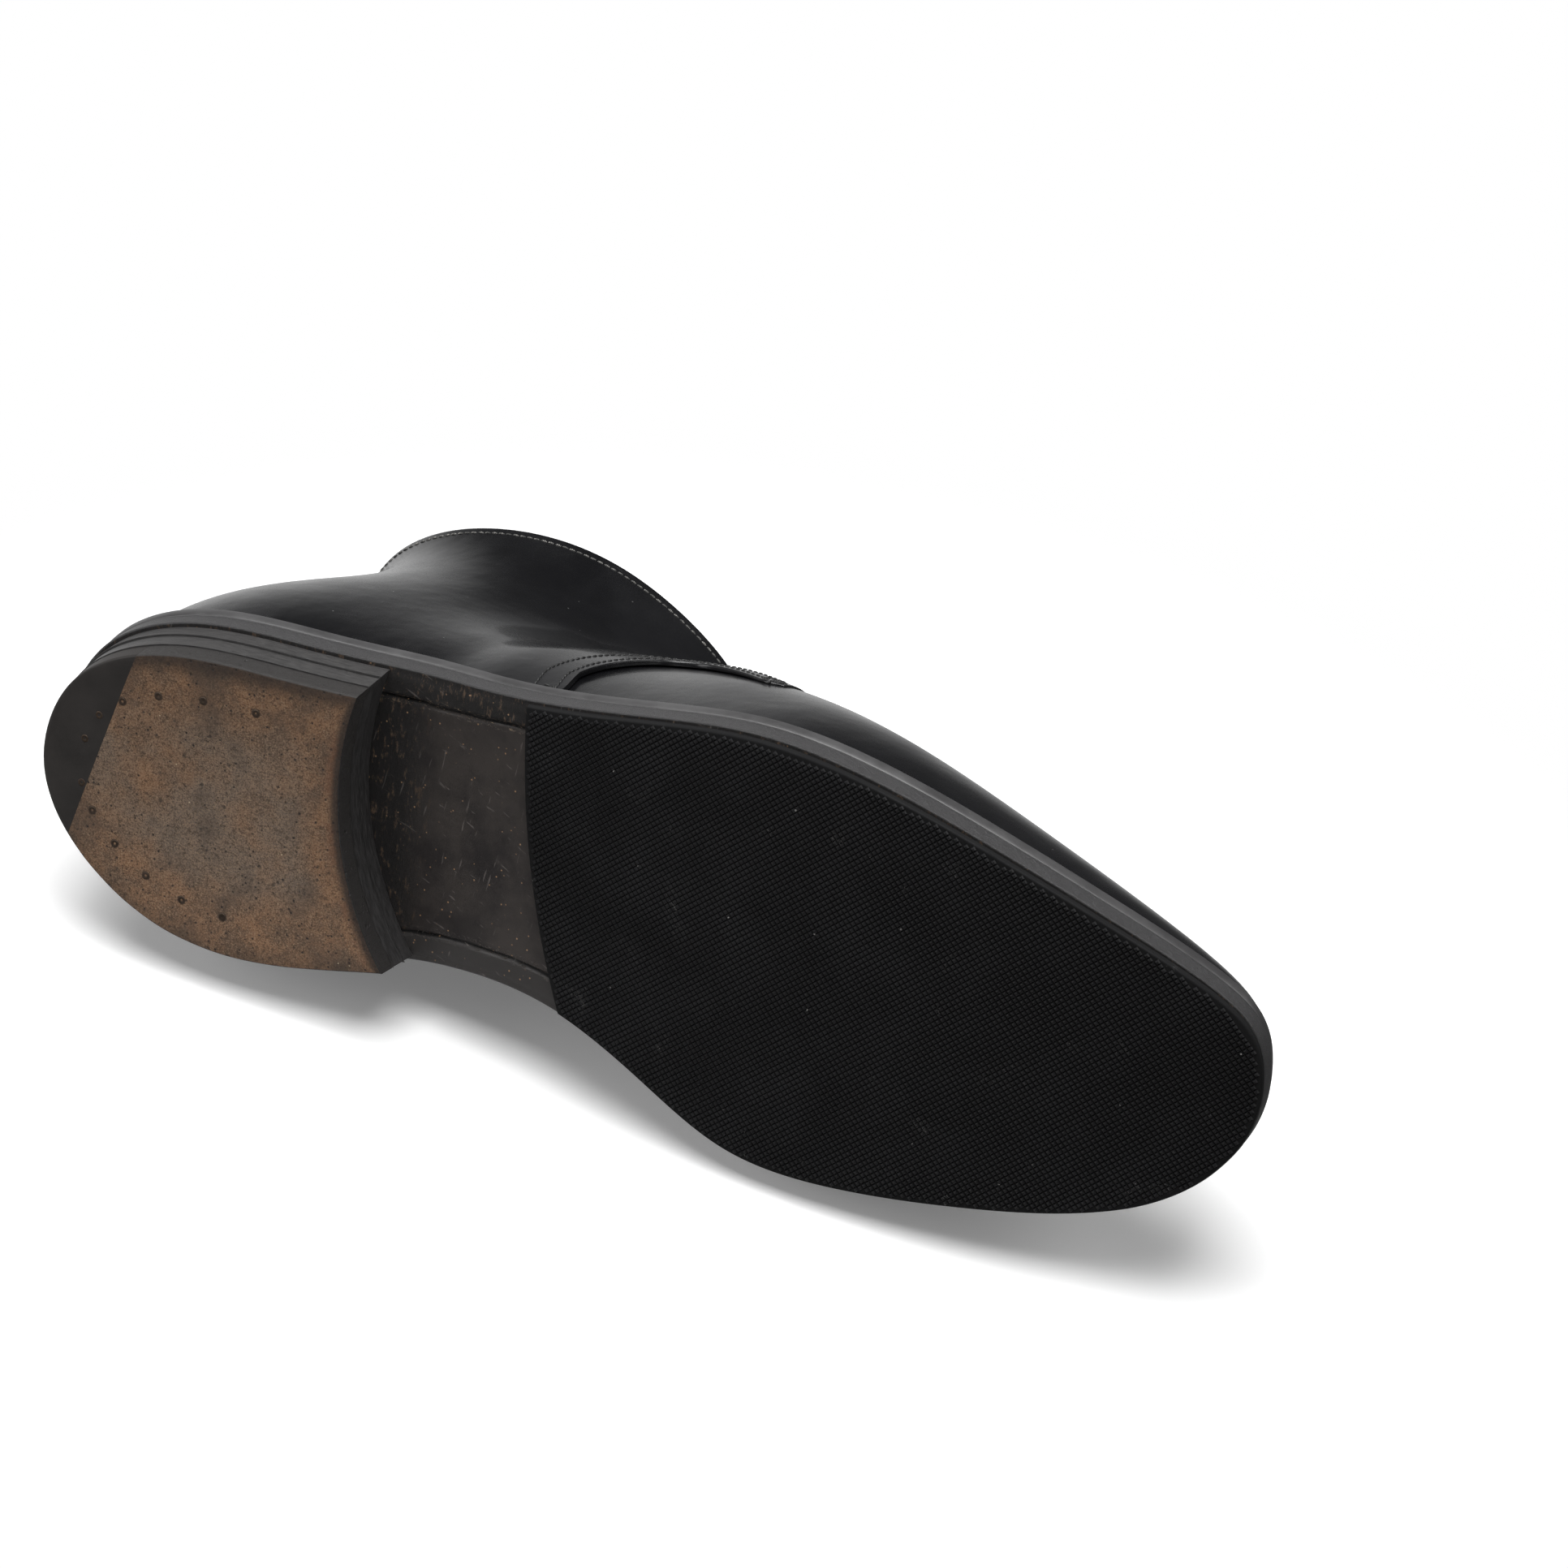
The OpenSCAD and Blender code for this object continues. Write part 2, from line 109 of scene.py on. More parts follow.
# The top edge, point for point above it: collar, front corner, facing, crest of the vamp.
CROWN = (272, 7, 45.5)
TOP = np.array([
    (20, 0, 121), (31, -24, 119.5), (59, -36.5, 118), (93, -35.5, 119), (124, -14, 122),
    (139, -8, 102), (157, -6, 89), (176, 1, 77), (199, 2, 67.5), (225, 4, 58.5),
    (251, 5.5, 51.5), CROWN, CROWN, CROWN, CROWN, CROWN, (251, 5.5, 51.5), (225, 4, 58.5),
    (199, 2, 67.5), (176, 1, 77), (157, 7, 89), (139, 9, 102), (124, 15, 122), (93, 35, 119),
    (59, 36, 118), (31, 23.5, 119.5)])
BACK = len(WELT) / 2                        # the place of the heel's back; the toe is place 0
CREST_END = 5                               # the vamp's crest runs from place 1 to this one
# A quarter's lower edge and, column for column, its top edge: place from the toe, height share.
QUARTER_LOW = np.array([
    (13, 0), (12.1, 0), (11.15, 0), (10.15, 0), (9.15, 0), (8.15, 0), (8.13, 0.12),
    (8.04, 0.22), (7.85, 0.33), (7.55, 0.375), (7.2, 0.36), (6.95, 0.34), (6.75, 0.325),
    (6.6, 0.35)])
QUARTER_TOP = np.array([
    (13, 1), (12.15, 1), (11.3, 1), (10.5, 1), (9.7, 1), (8.95, 1), (8.7, 1), (8.4, 1),
    (8.15, 1), (7.8, 1), (7.45, 1), (7.15, 1), (6.85, 1), (6.6, 1)])
# Where the vamp and its lining end: height share and place from the toe.
VAMP_END = np.array([(0, 8.6), (0.2, 8.6), (0.36, 8.35), (0.5, 7.5), (0.62, 7), (1, 6.95)])
LINING_SPLIT = np.array([(0, 8.3), (0.45, 8), (0.7, 7), (1, 6.6)])
BREAST = (156.8, -16.0, 79.0)               # the heel breast's arc: centre x, y and radius
HALF_SOLE_BACK = (319.3, -48.0, 200.0)      # the half-sole's back edge, the same way
STEP = 0.01                                 # step of the central differences over the surface


def spline(points, u):
    """Closed cubic B-spline: each point weighted by the four basis cubics of u's fraction."""
    u = np.asarray(u, float)
    i = np.floor(u).astype(int)
    f = (u - i)[..., None]
    p = [points[(i + k) % len(points)] for k in (-1, 0, 1, 2)]
    return ((1 - f) ** 3 * p[0] + (3 * f ** 3 - 6 * f ** 2 + 4) * p[1]
            + (-3 * f ** 3 + 3 * f ** 2 + 3 * f + 1) * p[2] + f ** 3 * p[3]) / 6


WELT_KNOTS = WELT + (2 * WELT - np.roll(WELT, 1, 0) - np.roll(WELT, -1, 0)) / 6


def path(points, v):
    """Open Catmull-Rom curve through points, v from 0 to 1."""
    n = len(points) - 1
    v = np.clip(np.asarray(v, float), 0, 1) * n
    i = np.minimum(v.astype(int), n - 1)
    f = (v - i)[..., None]
    ends = np.vstack([2 * points[:1] - points[1:2], points, 2 * points[-1:] - points[-2:-1]])
    a, b, c, d = (ends[i + k] for k in range(4))
    return (2 * b + (c - a) * f + (2 * a - 5 * b + 4 * c - d) * f ** 2
            + (3 * b - 3 * c + d - a) * f ** 3) / 2


def smooth(v, lo, hi):
    """0 below lo, 1 above hi, an S-shaped cubic between."""
    t = np.clip((v - lo) / (hi - lo), 0, 1)
    return t * t * (3 - 2 * t)


def mix(a, b, v):
    """Straight blend from a, where v is 0, to b, where v is 1."""
    return a * (1 - v) + b * v


def unit(v):
    """The vectors at length 1."""
    return v / np.linalg.norm(v, axis=-1, keepdims=True)


def lifted(p, z):
    """Points of the plane p with heights z."""
    return np.concatenate([p, z[..., None]], -1)


def from_toe(s):
    """Distance of place s from the toe, 0 to BACK."""
    return np.abs(s - 2 * BACK * np.floor((s + BACK) / (2 * BACK)))


def sole_z(x):
    """The outsole's underside: level seat, parabola through the waist, parabola up to the toe."""
    u = np.maximum((BALL_X - x) / (BALL_X - FLAT_END), 0)
    h = np.maximum(0.1 - np.abs(u - 1), 0) / 0.1
    u = np.maximum(np.minimum(u, 1) - h * h * 0.025, 0)
    w = np.maximum((x - BALL_X) / (TOE_X - BALL_X), 0)
    return HALF_SOLE_T + (HEEL_H - HALF_SOLE_T) * u ** 2 + TOE_SPRING * w ** 2


def sole_slope(x):
    """The sole's rise over 1 mm, as a central difference."""
    return sole_z(x + 0.5) - sole_z(x - 0.5)


def edge_out(s):
    """Outward normal of the outline in plan: its tangent turned by a right angle."""
    d = spline(WELT_KNOTS, BACK + s + STEP) - spline(WELT_KNOTS, BACK + s - STEP)
    return unit(np.stack([d[..., 1], -d[..., 0]], -1))


def edge(s, inset, dz):
    """The outline moved in by inset, and lifted by dz square to the sole."""
    s, inset, dz = np.broadcast_arrays(s, inset, dz)
    p = spline(WELT_KNOTS, BACK + s) - edge_out(s) * inset[..., None]
    return np.stack([p[..., 0] - sole_slope(p[..., 0]) * dz, p[..., 1]], -1)


def sole_edge(s, inset, dz):
    """The outline of a sole layer, which is tucked in at the toe."""
    return edge(s, inset + TUCK * (1 - smooth(from_toe(s), 0.5, 1.8)), dz)


def upper(s, t):
    """Cubic Bezier from the feather line (t = 0) up to the top edge (t = 1) at each place s.

    On the vamp the sides rise steeply and arch over the crest, tangent to the crest line; on the
    shaft they bulge at the counter and draw in at the ankle."""
    s, t = np.broadcast_arrays(np.asarray(s, float), np.asarray(t, float))
    a = from_toe(s)
    w = smooth(a, 6.8, 10.2)[..., None]
    inset = mix(WELT_SHOW, WELT_SHOW_HEEL, smooth(a, 7, 10))
    foot = edge(s, inset, FEATHER)
    out = lifted(edge_out(s), 0 * s)
    low = lifted(foot, sole_z(foot[..., 0]) + FEATHER)
    top = spline(TOP, BACK + s)
    up = np.array([0, 0, 1.0])
    h = (top - low)[..., 2:]
    side = (low - top) * (1, 1, 0)
    sc = np.clip(a, 1.6, 4.6)
    crest = spline(TOP, BACK + sc - STEP) - spline(TOP, BACK + sc + STEP)
    run = crest * (1, 1, 0)
    slope = crest[..., 2:] / np.linalg.norm(run, axis=-1, keepdims=True)
    along = np.sum(side * unit(run), -1, keepdims=True)
    p1 = low + (1 - w) * (out * 1.5 + up * 0.67 * h) + w * (out * 5 + up * 0.42 * h)
    p2 = (top + (1 - w) * 0.62 * (side + up * slope * along * (1 - smooth(a, 4.6, 6.6))[..., None])
          - w * (out * 10 + up * 0.33 * h))
    t = t[..., None]
    return (1 - t) ** 3 * low + 3 * (1 - t) ** 2 * t * p1 + 3 * (1 - t) * t ** 2 * p2 + t ** 3 * top


def upper_normal(s, t):
    """Normal of the upper: the cross product of its steps over place and over height."""
    tc = np.clip(t, 0.03, 0.97)
    return unit(np.cross(upper(s + STEP, tc) - upper(s - STEP, tc),
                         upper(s, tc + STEP) - upper(s, tc - STEP)))


def layer(s, t, off):
    """The upper moved out along its normal by off."""
    return upper(s, t) + upper_normal(s, t) * np.asarray(off)[..., None]


# ------------------------------------------------------------------ meshes
WELD = 1e-3                                 # points nearer than this, in millimetres, are one
materials = {}


def grid_faces(nu, nv):
    """Quads of a grid of nu by nv points, row by row."""
    i = np.arange(nu * nv).reshape(nu, nv)
    return np.stack([i[:-1, :-1], i[1:, :-1], i[1:, 1:], i[:-1, 1:]], -1).reshape(-1, 4)


def new_mesh(name, points, faces):
    """A mesh in the frame's metres from points in millimetres."""
    mesh = bpy.data.meshes.new(name)
    mesh.from_pydata(((points - BOX_CENTRE) * MM).tolist(), [], faces)
    return mesh


def solid(name, grids, body, slot, replaces=(), material=None, marks=None):
    """One closed mesh from grids of points (arrays of u by v by 3, in millimetres).

    marks is a dict of attribute name to one array per grid."""
    points = np.vstack([g.reshape(-1, 3) for g in grids])
    faces, base = [], 0
    for g in grids:
        faces.append(grid_faces(*g.shape[:2]) + base)
        base += g.shape[0] * g.shape[1]
    stacked = points
    names = list(marks or {})
    if names:
        stacked = np.hstack([points, np.stack(
            [np.concatenate([m.reshape(-1) for m in marks[k]]) for k in names], -1)])
    _, first, back = np.unique(np.round(points / WELD).astype(np.int64), axis=0,
                               return_index=True, return_inverse=True)
    kept = stacked[first]
    quads = back.reshape(-1)[np.vstack(faces)]
    same = quads == np.roll(quads, -1, 1)
    folded = (quads[:, 0] == quads[:, 2]) | (quads[:, 1] == quads[:, 3])
    whole = quads[~same.any(1) & ~folded]
    lone = (same.sum(1) == 1) & ~folded
    tris = np.vstack([np.roll(quads[lone & same[:, k]], -k - 1, 1)[:, :3] for k in range(4)])
    mesh = new_mesh(name, kept[:, :3], whole.tolist() + tris.tolist())
    for k, key in enumerate(names):
        mesh.attributes.new(key, "FLOAT", "POINT").data.foreach_set(
            "value", np.ascontiguousarray(kept[:, 3 + k], np.float32))
    bm = bmesh.new()
    bm.from_mesh(mesh)
    bmesh.ops.recalc_face_normals(bm, faces=bm.faces)
    bm.to_mesh(mesh)
    bm.free()
    return piece(name, mesh, body, slot, replaces, material)


def piece(name, mesh, body, slot, replaces=(), material=None, flat=False):
    """An object of the mesh, in its finish, on its body and in its slot."""
    mesh.polygons.foreach_set("use_smooth", np.full(len(mesh.polygons), not flat))
    mesh.materials.append(materials[material or slot])
    obj = add(name, mesh)
    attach(obj, body)
    if replaces:
        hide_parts(*replaces)
    return obj


def edged(n, width, count=4):
    """n even values from 0 to 1, with count closer ones instead within width of each end."""
    values = np.linspace(0, 1, n)
    near = width * np.linspace(0, 1, count + 1)[:-1] ** 2
    inner = values[(values > width) & (values < 1 - width)]
    return np.concatenate([near, [width], inner, [1 - width], 1 - near[::-1]])


def rim(du, dv, power=3.0):
    """A rounded rim's share of the full thickness: the superellipse (1 - (1 - d)^power)^(1 / power)
    of the distances du and dv from the edges, each as a share of the rim's width."""
    du, dv = np.clip(du, 0, 1), np.clip(dv, 0, 1)
    return ((1 - (1 - du) ** power) * (1 - (1 - dv) ** power)) ** (1 / power)


def from_end(a):
    """Distance from the nearer of the ends 0 and 1."""
    return np.minimum(a, 1 - a)


def sheet_grids(place, mid, half, nu, nv, round_u, round_v):
    """Closed sheet of leather as an outer and an inner grid that meet at a rounded rim.

    place(a, c) gives place and height share, mid and half give the middle layer's offset and half
    the thickness there; round_u and round_v are the shares over which the rim rounds off."""
    a, c = np.meshgrid(edged(nu, round_u), edged(nv, round_v), indexing="ij")
    s, t = place(a, c)
    base, normal = upper(s, t), upper_normal(s, t)
    thick = half(s, t) * rim(from_end(a) / round_u, from_end(c) / round_v)
    centre = mid(s, t)
    return [base + normal * off[..., None] for off in (centre + thick, centre - thick)]


def crest_sheet(name, slot, a, c, reach, round_u, depth, thickness):
    """A sheet from seam to seam: place (2a - 1) reach(c) at height share c. Its two halves meet
    along the crest, where they share their normals, and the crest's front end is a pole."""
    a, c = np.meshgrid(a, c, indexing="ij")
    s = (2 * a - 1) * reach(c)
    base, normal = upper(s, c), upper_normal(s, c)
    away = np.abs(s[:, -1])
    normal[:, -1] = np.where((away <= CREST_END)[:, None], unit(normal[:, -1] + normal[::-1, -1]),
                             normal[:, -1])
    pole = away <= 1
    normal[pole, -1] = unit(normal[pole, -1].sum(0))
    open_top = smooth(np.abs(s), CREST_END, CREST_END + 0.3)
    from_edge = np.minimum(c, mix(1, 1 - c, open_top))
    thick = thickness / 2 * rim(from_end(a) / round_u, from_edge / 0.01)
    centre = base - normal * depth(s, c)[..., None]
    thick = normal * thick[..., None]
    solid(name, [centre + thick, centre - thick], "boot", slot, [name])


# ------------------------------------------------------------------ the upper
def in_quarter(side):
    """A quarter's columns run straight from a point of its lower edge to one of its top edge."""
    def place(a, c):
        q = mix(path(QUARTER_LOW, a), path(QUARTER_TOP, a), c[..., None])
        return side * q[..., 0], q[..., 1]
    return place


def line_end(line, t):
    """The line's place from the toe at height share t."""
    return np.interp(t, line[:, 0], line[:, 1])


def lap_rise(s, t):
    """How far a quarter is lifted where it lies on the vamp: less where its front end is skived."""
    a = from_toe(s)
    end = line_end(VAMP_END, t)
    return LAP * (1 - smooth(a - end, 0.05, 0.55)) * smooth(a, 6.0, 7.7)


def quarter_thickness(s):
    """The leather's thickness, skived to 0.75 mm at its front end."""
    return mix(0.75, LEATHER_T, smooth(from_toe(s), 6.6, 7.6))


def lining_depth(s, t):
    """Depth of the lining's outer face: deeper behind the counter and the toe puff."""
    a = from_toe(s)
    counter = smooth(a, 8.3, 8.9) * (1 - smooth(t, 0.45, 0.55))
    puff = 1 - smooth(a, 2.8, 3.4)
    return 1.75 + 1.45 * np.maximum(counter, puff) - 0.25 * smooth(t, 0.86, 0.94)


def creases(s, t):
    """Shallow creases worn in at the ankle's bend: slanting gaussian furrows that fade out."""
    a = from_toe(s)
    depth = 0.0 * a
    for place, height, slant, width, reach, deep in (
            (9.3, 0.60, 0.5, 0.050, 0.9, 0.30), (9.5, 0.71, 0.4, 0.040, 0.8, 0.18),
            (12.0, 0.68, -0.25, 0.050, 0.7, 0.20)):
        along = a - place
        across = t - height - slant * 0.12 * along - 0.012 * np.sin(along * 7)
        depth += deep * np.exp(-(across / width) ** 2 - (along / reach) ** 2)
    return depth


def build_quarter(side, name):
    """The quarter's leather, raised over the vamp, with creases at the ankle's bend."""
    def half(s, t):
        return quarter_thickness(s) / 2

    def mid(s, t):
        return lap_rise(s, t) - half(s, t) - creases(s, t)
    grids = sheet_grids(in_quarter(side), mid, half, 150, 80, 0.004, 0.008)
    return solid(name, grids, "boot", "upper_leather", [name])


def build_vamp():
    """The vamp's leather."""
    crest_sheet("vamp", "upper_leather", edged(220, 0.004), edged(90, 0.01),
                lambda c: line_end(VAMP_END, c), 0.004,
                lambda s, t: LEATHER_T / 2 + 0 * s, LEATHER_T)


def build_lining(side, name):
    """A quarter's lining: the upper's surface moved in, from the back seam to the split line."""
    def place(a, c):
        end = line_end(LINING_SPLIT, c) + 0.02
        return side * mix(BACK, end, a), c
    grids = sheet_grids(place, lambda s, t: -lining_depth(s, t) - LINING_T / 2,
                        lambda s, t: LINING_T / 2 + 0 * s, 70, 70, 0.004, 0.008)
    return solid(name, grids, "boot", "lining_leather", [name])


def build_vamp_lining():
    """The vamp's lining, which ends where the quarters' linings start."""
    crest_sheet("vamp_lining", "lining_leather", np.linspace(0, 1, 140), edged(50, 0.01),
                lambda c: line_end(LINING_SPLIT, c) - 0.02, 0.008,
                lambda s, t: lining_depth(s, t) + LINING_T / 2, LINING_T)


def backstay_half(t):
    """Half the backstay's width, in places: a little wider at the foot."""
    return mix(0.32, 0.24, t)


def build_backstay():
    """Narrow strip over the back seam, with three raised gaussian ridges."""
    def place(a, c):
        return BACK + (2 * a - 1) * backstay_half(c), c

    def half(s, t):
        v = (s - BACK) / backstay_half(t)
        return 0.34 + 0.1 * sum(np.exp(-((v - at) / 0.13) ** 2) for at in (-0.5, 0.0, 0.5))
    grids = sheet_grids(place, half, half, 40, 90, 0.06, 0.006)
    solid("backstay", grids, "boot", "upper_leather", ["backstay"])


TONGUE_S = (6.35, 9.2)
TONGUE_WING, TONGUE_TOP, BRIDGE = 0.74, 0.96, 0.4
TONGUE_DEPTH, TONGUE_T = 4.2, 2.2


def tongue_middle(s, v, off):
    """The wings follow the facings inside; a parabola bridges the gap between them."""
    t = mix(TONGUE_TOP, TONGUE_WING, np.clip((np.abs(v) - BRIDGE) / (1 - BRIDGE), 0, 1))
    wing = layer(np.where(v < 0, -s, s), t, off)
    a, b = layer(-s, TONGUE_TOP + 0 * s, off), layer(s, TONGUE_TOP + 0 * s, off)
    lift = unit(upper_normal(-s, TONGUE_TOP + 0 * s) + upper_normal(s, TONGUE_TOP + 0 * s))
    top = (a + b) / 2 + lift * np.linalg.norm(b - a, axis=-1, keepdims=True) * 0.3
    f = ((v / BRIDGE + 1) / 2)[..., None]
    span = (1 - f) ** 2 * a + 2 * f * (1 - f) * top + f ** 2 * b
    return np.where(np.abs(v)[..., None] > BRIDGE, wing, span)


def build_tongue():
    """The tongue, padded and rounded at its rim, from the throat to above the collar's front."""
    a, c = np.meshgrid(edged(90, 0.01), edged(60, 0.012), indexing="ij")
    s, v = mix(TONGUE_S[0], TONGUE_S[1], c), 2 * a - 1
    rise = rim(from_end(a) / 0.01, from_end(c) / 0.012, 2.5)
    middle, half = -TONGUE_DEPTH - TONGUE_T / 2, (TONGUE_T / 2 - 0.05) * rise
    grids = [tongue_middle(s, v, middle + half), tongue_middle(s, v, middle - half)]
    solid("tongue", grids, "tongue", "upper_leather", ["tongue"])


EYELET_S, EYELET_T, BARREL_R = (7.3, 7.95, 8.6), 0.9, 2.1
PUNCH_SIDES, PUNCH_REACH = 32, 6


def punch(obj, side):
    """Cuts the eyelets' holes through a facing or its lining."""
    s = side * np.array(EYELET_S)
    t = EYELET_T + 0 * s
    turn = np.linspace(0, 2 * np.pi, PUNCH_SIDES + 1)[:-1]
    k = np.arange(PUNCH_SIDES)
    following = (k + 1) % PUNCH_SIDES
    points, faces = [], []
    for p, n in zip(upper(s, t), upper_normal(s, t)):
        a = unit(np.cross(n, (0, 0, 1.0)))
        ring = p + BARREL_R * (np.cos(turn)[:, None] * a + np.sin(turn)[:, None] * np.cross(n, a))
        base = len(points) * PUNCH_SIDES
        points += [ring - PUNCH_REACH * n, ring + PUNCH_REACH * n]
        walls = np.stack([k, following, following + PUNCH_SIDES, k + PUNCH_SIDES], -1)
        faces += (walls + base).tolist()
        faces += [(k[::-1] + base).tolist(), (k + PUNCH_SIDES + base).tolist()]
    tool = add("cutter", new_mesh("cutter", np.vstack(points), faces))
    cut = obj.modifiers.new("punch", "BOOLEAN")
    cut.operation, cut.solver, cut.object = "DIFFERENCE", "EXACT", tool
    seen = obj.evaluated_get(bpy.context.evaluated_depsgraph_get())
    mesh = bpy.data.meshes.new_from_object(seen)
    obj.modifiers.clear()
    obj.data = mesh
    bpy.data.objects.remove(tool)


# ------------------------------------------------------------------ stitches
STITCH_PITCH = 1.9


def stitch_row(name, s, t, rise, size=0.24, material="thread"):
    """Stitches along a line of places, raised off the leather: bent capsules sunk at their ends.

    The capsule's radius is size times sqrt(1 - u^4) along u from -1 to 1."""
    points, normals = layer(s, t, rise), upper_normal(s, t)
    step = np.linalg.norm(np.diff(points, axis=0), axis=1)
    length = np.concatenate([[0], np.cumsum(step)])
    n = int(length[-1] / STITCH_PITCH)
    at = (np.arange(n) + 0.5) * length[-1] / n

    def along_row(values, where):
        return np.stack([np.interp(where, length, v) for v in values.T], -1)

    centre, up = along_row(points, at), unit(along_row(normals, at))
    ahead = along_row(points, at + 0.2) - along_row(points, at - 0.2)
    ahead = unit(ahead - up * np.sum(ahead * up, -1, keepdims=True))
    side = np.cross(up, ahead)
    u = np.array([-1, -0.92, -0.6, 0, 0.6, 0.92, 1])
    turn = np.linspace(0, 2 * np.pi, 7)
    radius = size * np.sqrt(np.maximum(1 - u ** 4, 0))
    centre, up, ahead, side = (v[:, None, None] for v in (centre, up, ahead, side))
    along, rise, radius = (v[None, :, None, None] for v in (
        u * STITCH_PITCH * 0.44, size * (0.35 - 0.63 * u ** 2), radius))
    turn = turn[None, None, :, None]
    ring = radius * (np.cos(turn) * side + np.sin(turn) * up)
    capsules = centre + along * ahead + rise * up + ring
    solid(name, list(capsules), "boot", "upper_leather", material=material)


def shifted(s, t, distance, turn):
    """A line in places (s, t) moved by distance across itself, along the leather, in steps."""
    for _ in range(4):
        ss = (upper(s + STEP, t) - upper(s - STEP, t)) / (2 * STEP)
        st = (upper(s, t + STEP) - upper(s, t - STEP)) / (2 * STEP)
        line = ss * np.gradient(s)[:, None] + st * np.gradient(t)[:, None]
        across = unit(np.cross(upper_normal(s, t), line)) * turn * distance / 4
        e, f, g = (np.sum(a * b, -1) for a, b in ((ss, ss), (ss, st), (st, st)))
        p, q = np.sum(ss * across, -1), np.sum(st * across, -1)
        det = e * g - f * f
        s, t = s + (g * p - f * q) / det, t + (e * q - f * p) / det
    return s, t


def sew_quarter(side, name):
    """Two rows beside the seam, and one row along the facing and the collar."""
    a = np.linspace(5 / BACK, 1, 240)
    low = path(QUARTER_LOW, a)
    for k, gap in enumerate((2.0, 7.3)):
        s, t = shifted(side * low[:, 0], low[:, 1], gap, -side)
        keep = t > 0.006                    # the rows stop above the welt
        s, t = s[keep], t[keep]
        stitch_row(f"seam_stitches_{name}_{k + 1}", s, t, lap_rise(s, t))
    top = path(QUARTER_TOP, np.linspace(0, 1, 300))
    s, t = shifted(side * top[:, 0], top[:, 1] - 0.012, 1.2, side)
    stitch_row(f"top_stitches_{name}", s, t, lap_rise(s, t), material="top_thread")


def sew_backstay():
    """One row beside each edge of the backstay."""
    t = np.linspace(0.02, 0.975, 200)
    for k, sign in enumerate((-1, 1)):
        s = BACK + sign * (backstay_half(t) - 0.075)
        stitch_row(f"backstay_stitches_{k + 1}", s, t, 0.84 + 0 * s, 0.22)


# ------------------------------------------------------------------ the bottom
def arc_x(arc, y):
    """x of the near side of an arc, given as centre x, y and radius, at y."""
    return arc[0] - np.sqrt(arc[2] ** 2 - (y - arc[1]) ** 2)


def place_on_arc(arc, inset, side, outline):
    """Where the outline, moved in by inset, meets an arc, as a distance from the toe."""
    a = np.linspace(5.5, 13.6, 2400)
    p = outline(side * a, inset, 0.0)
    ahead = p[:, 0] > arc_x(arc, p[:, 1])
    return a[np.argmax(~ahead)]


def slab(outline, start, end, inset, low, high, n_ribs, wall, across, dz=0.0, roll=0.45):
    """A flat piece of the bottom, as ribs from the outer to the inner edge, with its distance from
    the edge at each point, or -1 on an end face.

    start and end are each a distance from the toe or an arc (centre x, y, radius) that the piece
    ends on. Each rib is a closed loop: bottom, inner wall, top, outer wall. wall(h) gives the
    wall's inset at height share h, and roll rounds the bottom's edge."""
    limits = [[limit if np.isscalar(limit) else place_on_arc(limit, inset, side, outline)
               for limit in (start, end)] for side in (-1, 1)]
    k = np.linspace(0, 1, n_ribs)
    k = mix(k, (1 - np.cos(np.pi * k)) / 2, 0.55)          # the ribs crowd towards both ends
    bend = np.arange(1, 5) / 5 * np.pi / 2

    def rib_point(v, extra, height):
        outer, inner = (outline(side * mix(*limit, k), inset + extra, dz)
                        for side, limit in zip((-1, 1), limits))
        p = mix(outer, inner, v)
        for arc, near, tip in ((start, (1 - k) ** 6, 0), (end, k ** 6, -1)):
            if not np.isscalar(arc):
                p = p + near[:, None] * np.array([arc_x(arc, p[tip, 1]) - p[tip, 0], 0.0])
        z = mix(low(p[:, 0]), high(p[:, 0]), height)
        away = extra + np.minimum(v, 1 - v) * np.linalg.norm(inner - outer, axis=-1)
        return lifted(p, z), away

    thick = float(high(60.0) - low(60.0))
    walls = ([(roll * (1 - np.sin(b)), roll * (1 - np.cos(b)) / thick) for b in bend]
             + [(wall(h), h) for h in np.linspace(roll / thick, 1 - 0.2 / thick, 14)])
    rows = ([rib_point(v, roll, 0.0) for v in across] + [rib_point(1.0, *w) for w in walls]
            + [rib_point(v, 0.35, 1.0) for v in across[::-1]]
            + [rib_point(0.0, *w) for w in walls[::-1]])
    rows.append(rows[0])
    loop = np.stack([r[0] for r in rows], 1)
    away = np.stack([r[1] for r in rows], 1)
    grids, marks = [loop], [away]
    n, m = len(across), len(walls)
    for arc, tip in ((start, 0), (end, -1)):
        if np.isscalar(arc):
            continue
        rib = loop[tip]
        bottom, top = rib[:n], rib[n + m:2 * n + m][::-1]
        inner, outer = rib[n - 1:n + m + 1], np.roll(rib[:-1], 1 - (2 * n + m), 0)[:m + 2][::-1]
        share = ((inner[:, 2] - inner[0, 2]) / (inner[-1, 2] - inner[0, 2]))[None, :, None]
        across_share = np.linspace(0, 1, n)[:, None, None]
        cap = (mix(bottom[:, None], top[:, None], share)
               + mix(outer[None] - mix(outer[:1], outer[-1:], share[0])[None],
                     inner[None] - mix(inner[:1], inner[-1:], share[0])[None], across_share))
        grids.append(cap)
        marks.append(np.full(cap.shape[:2], -1.0))
    return grids, marks


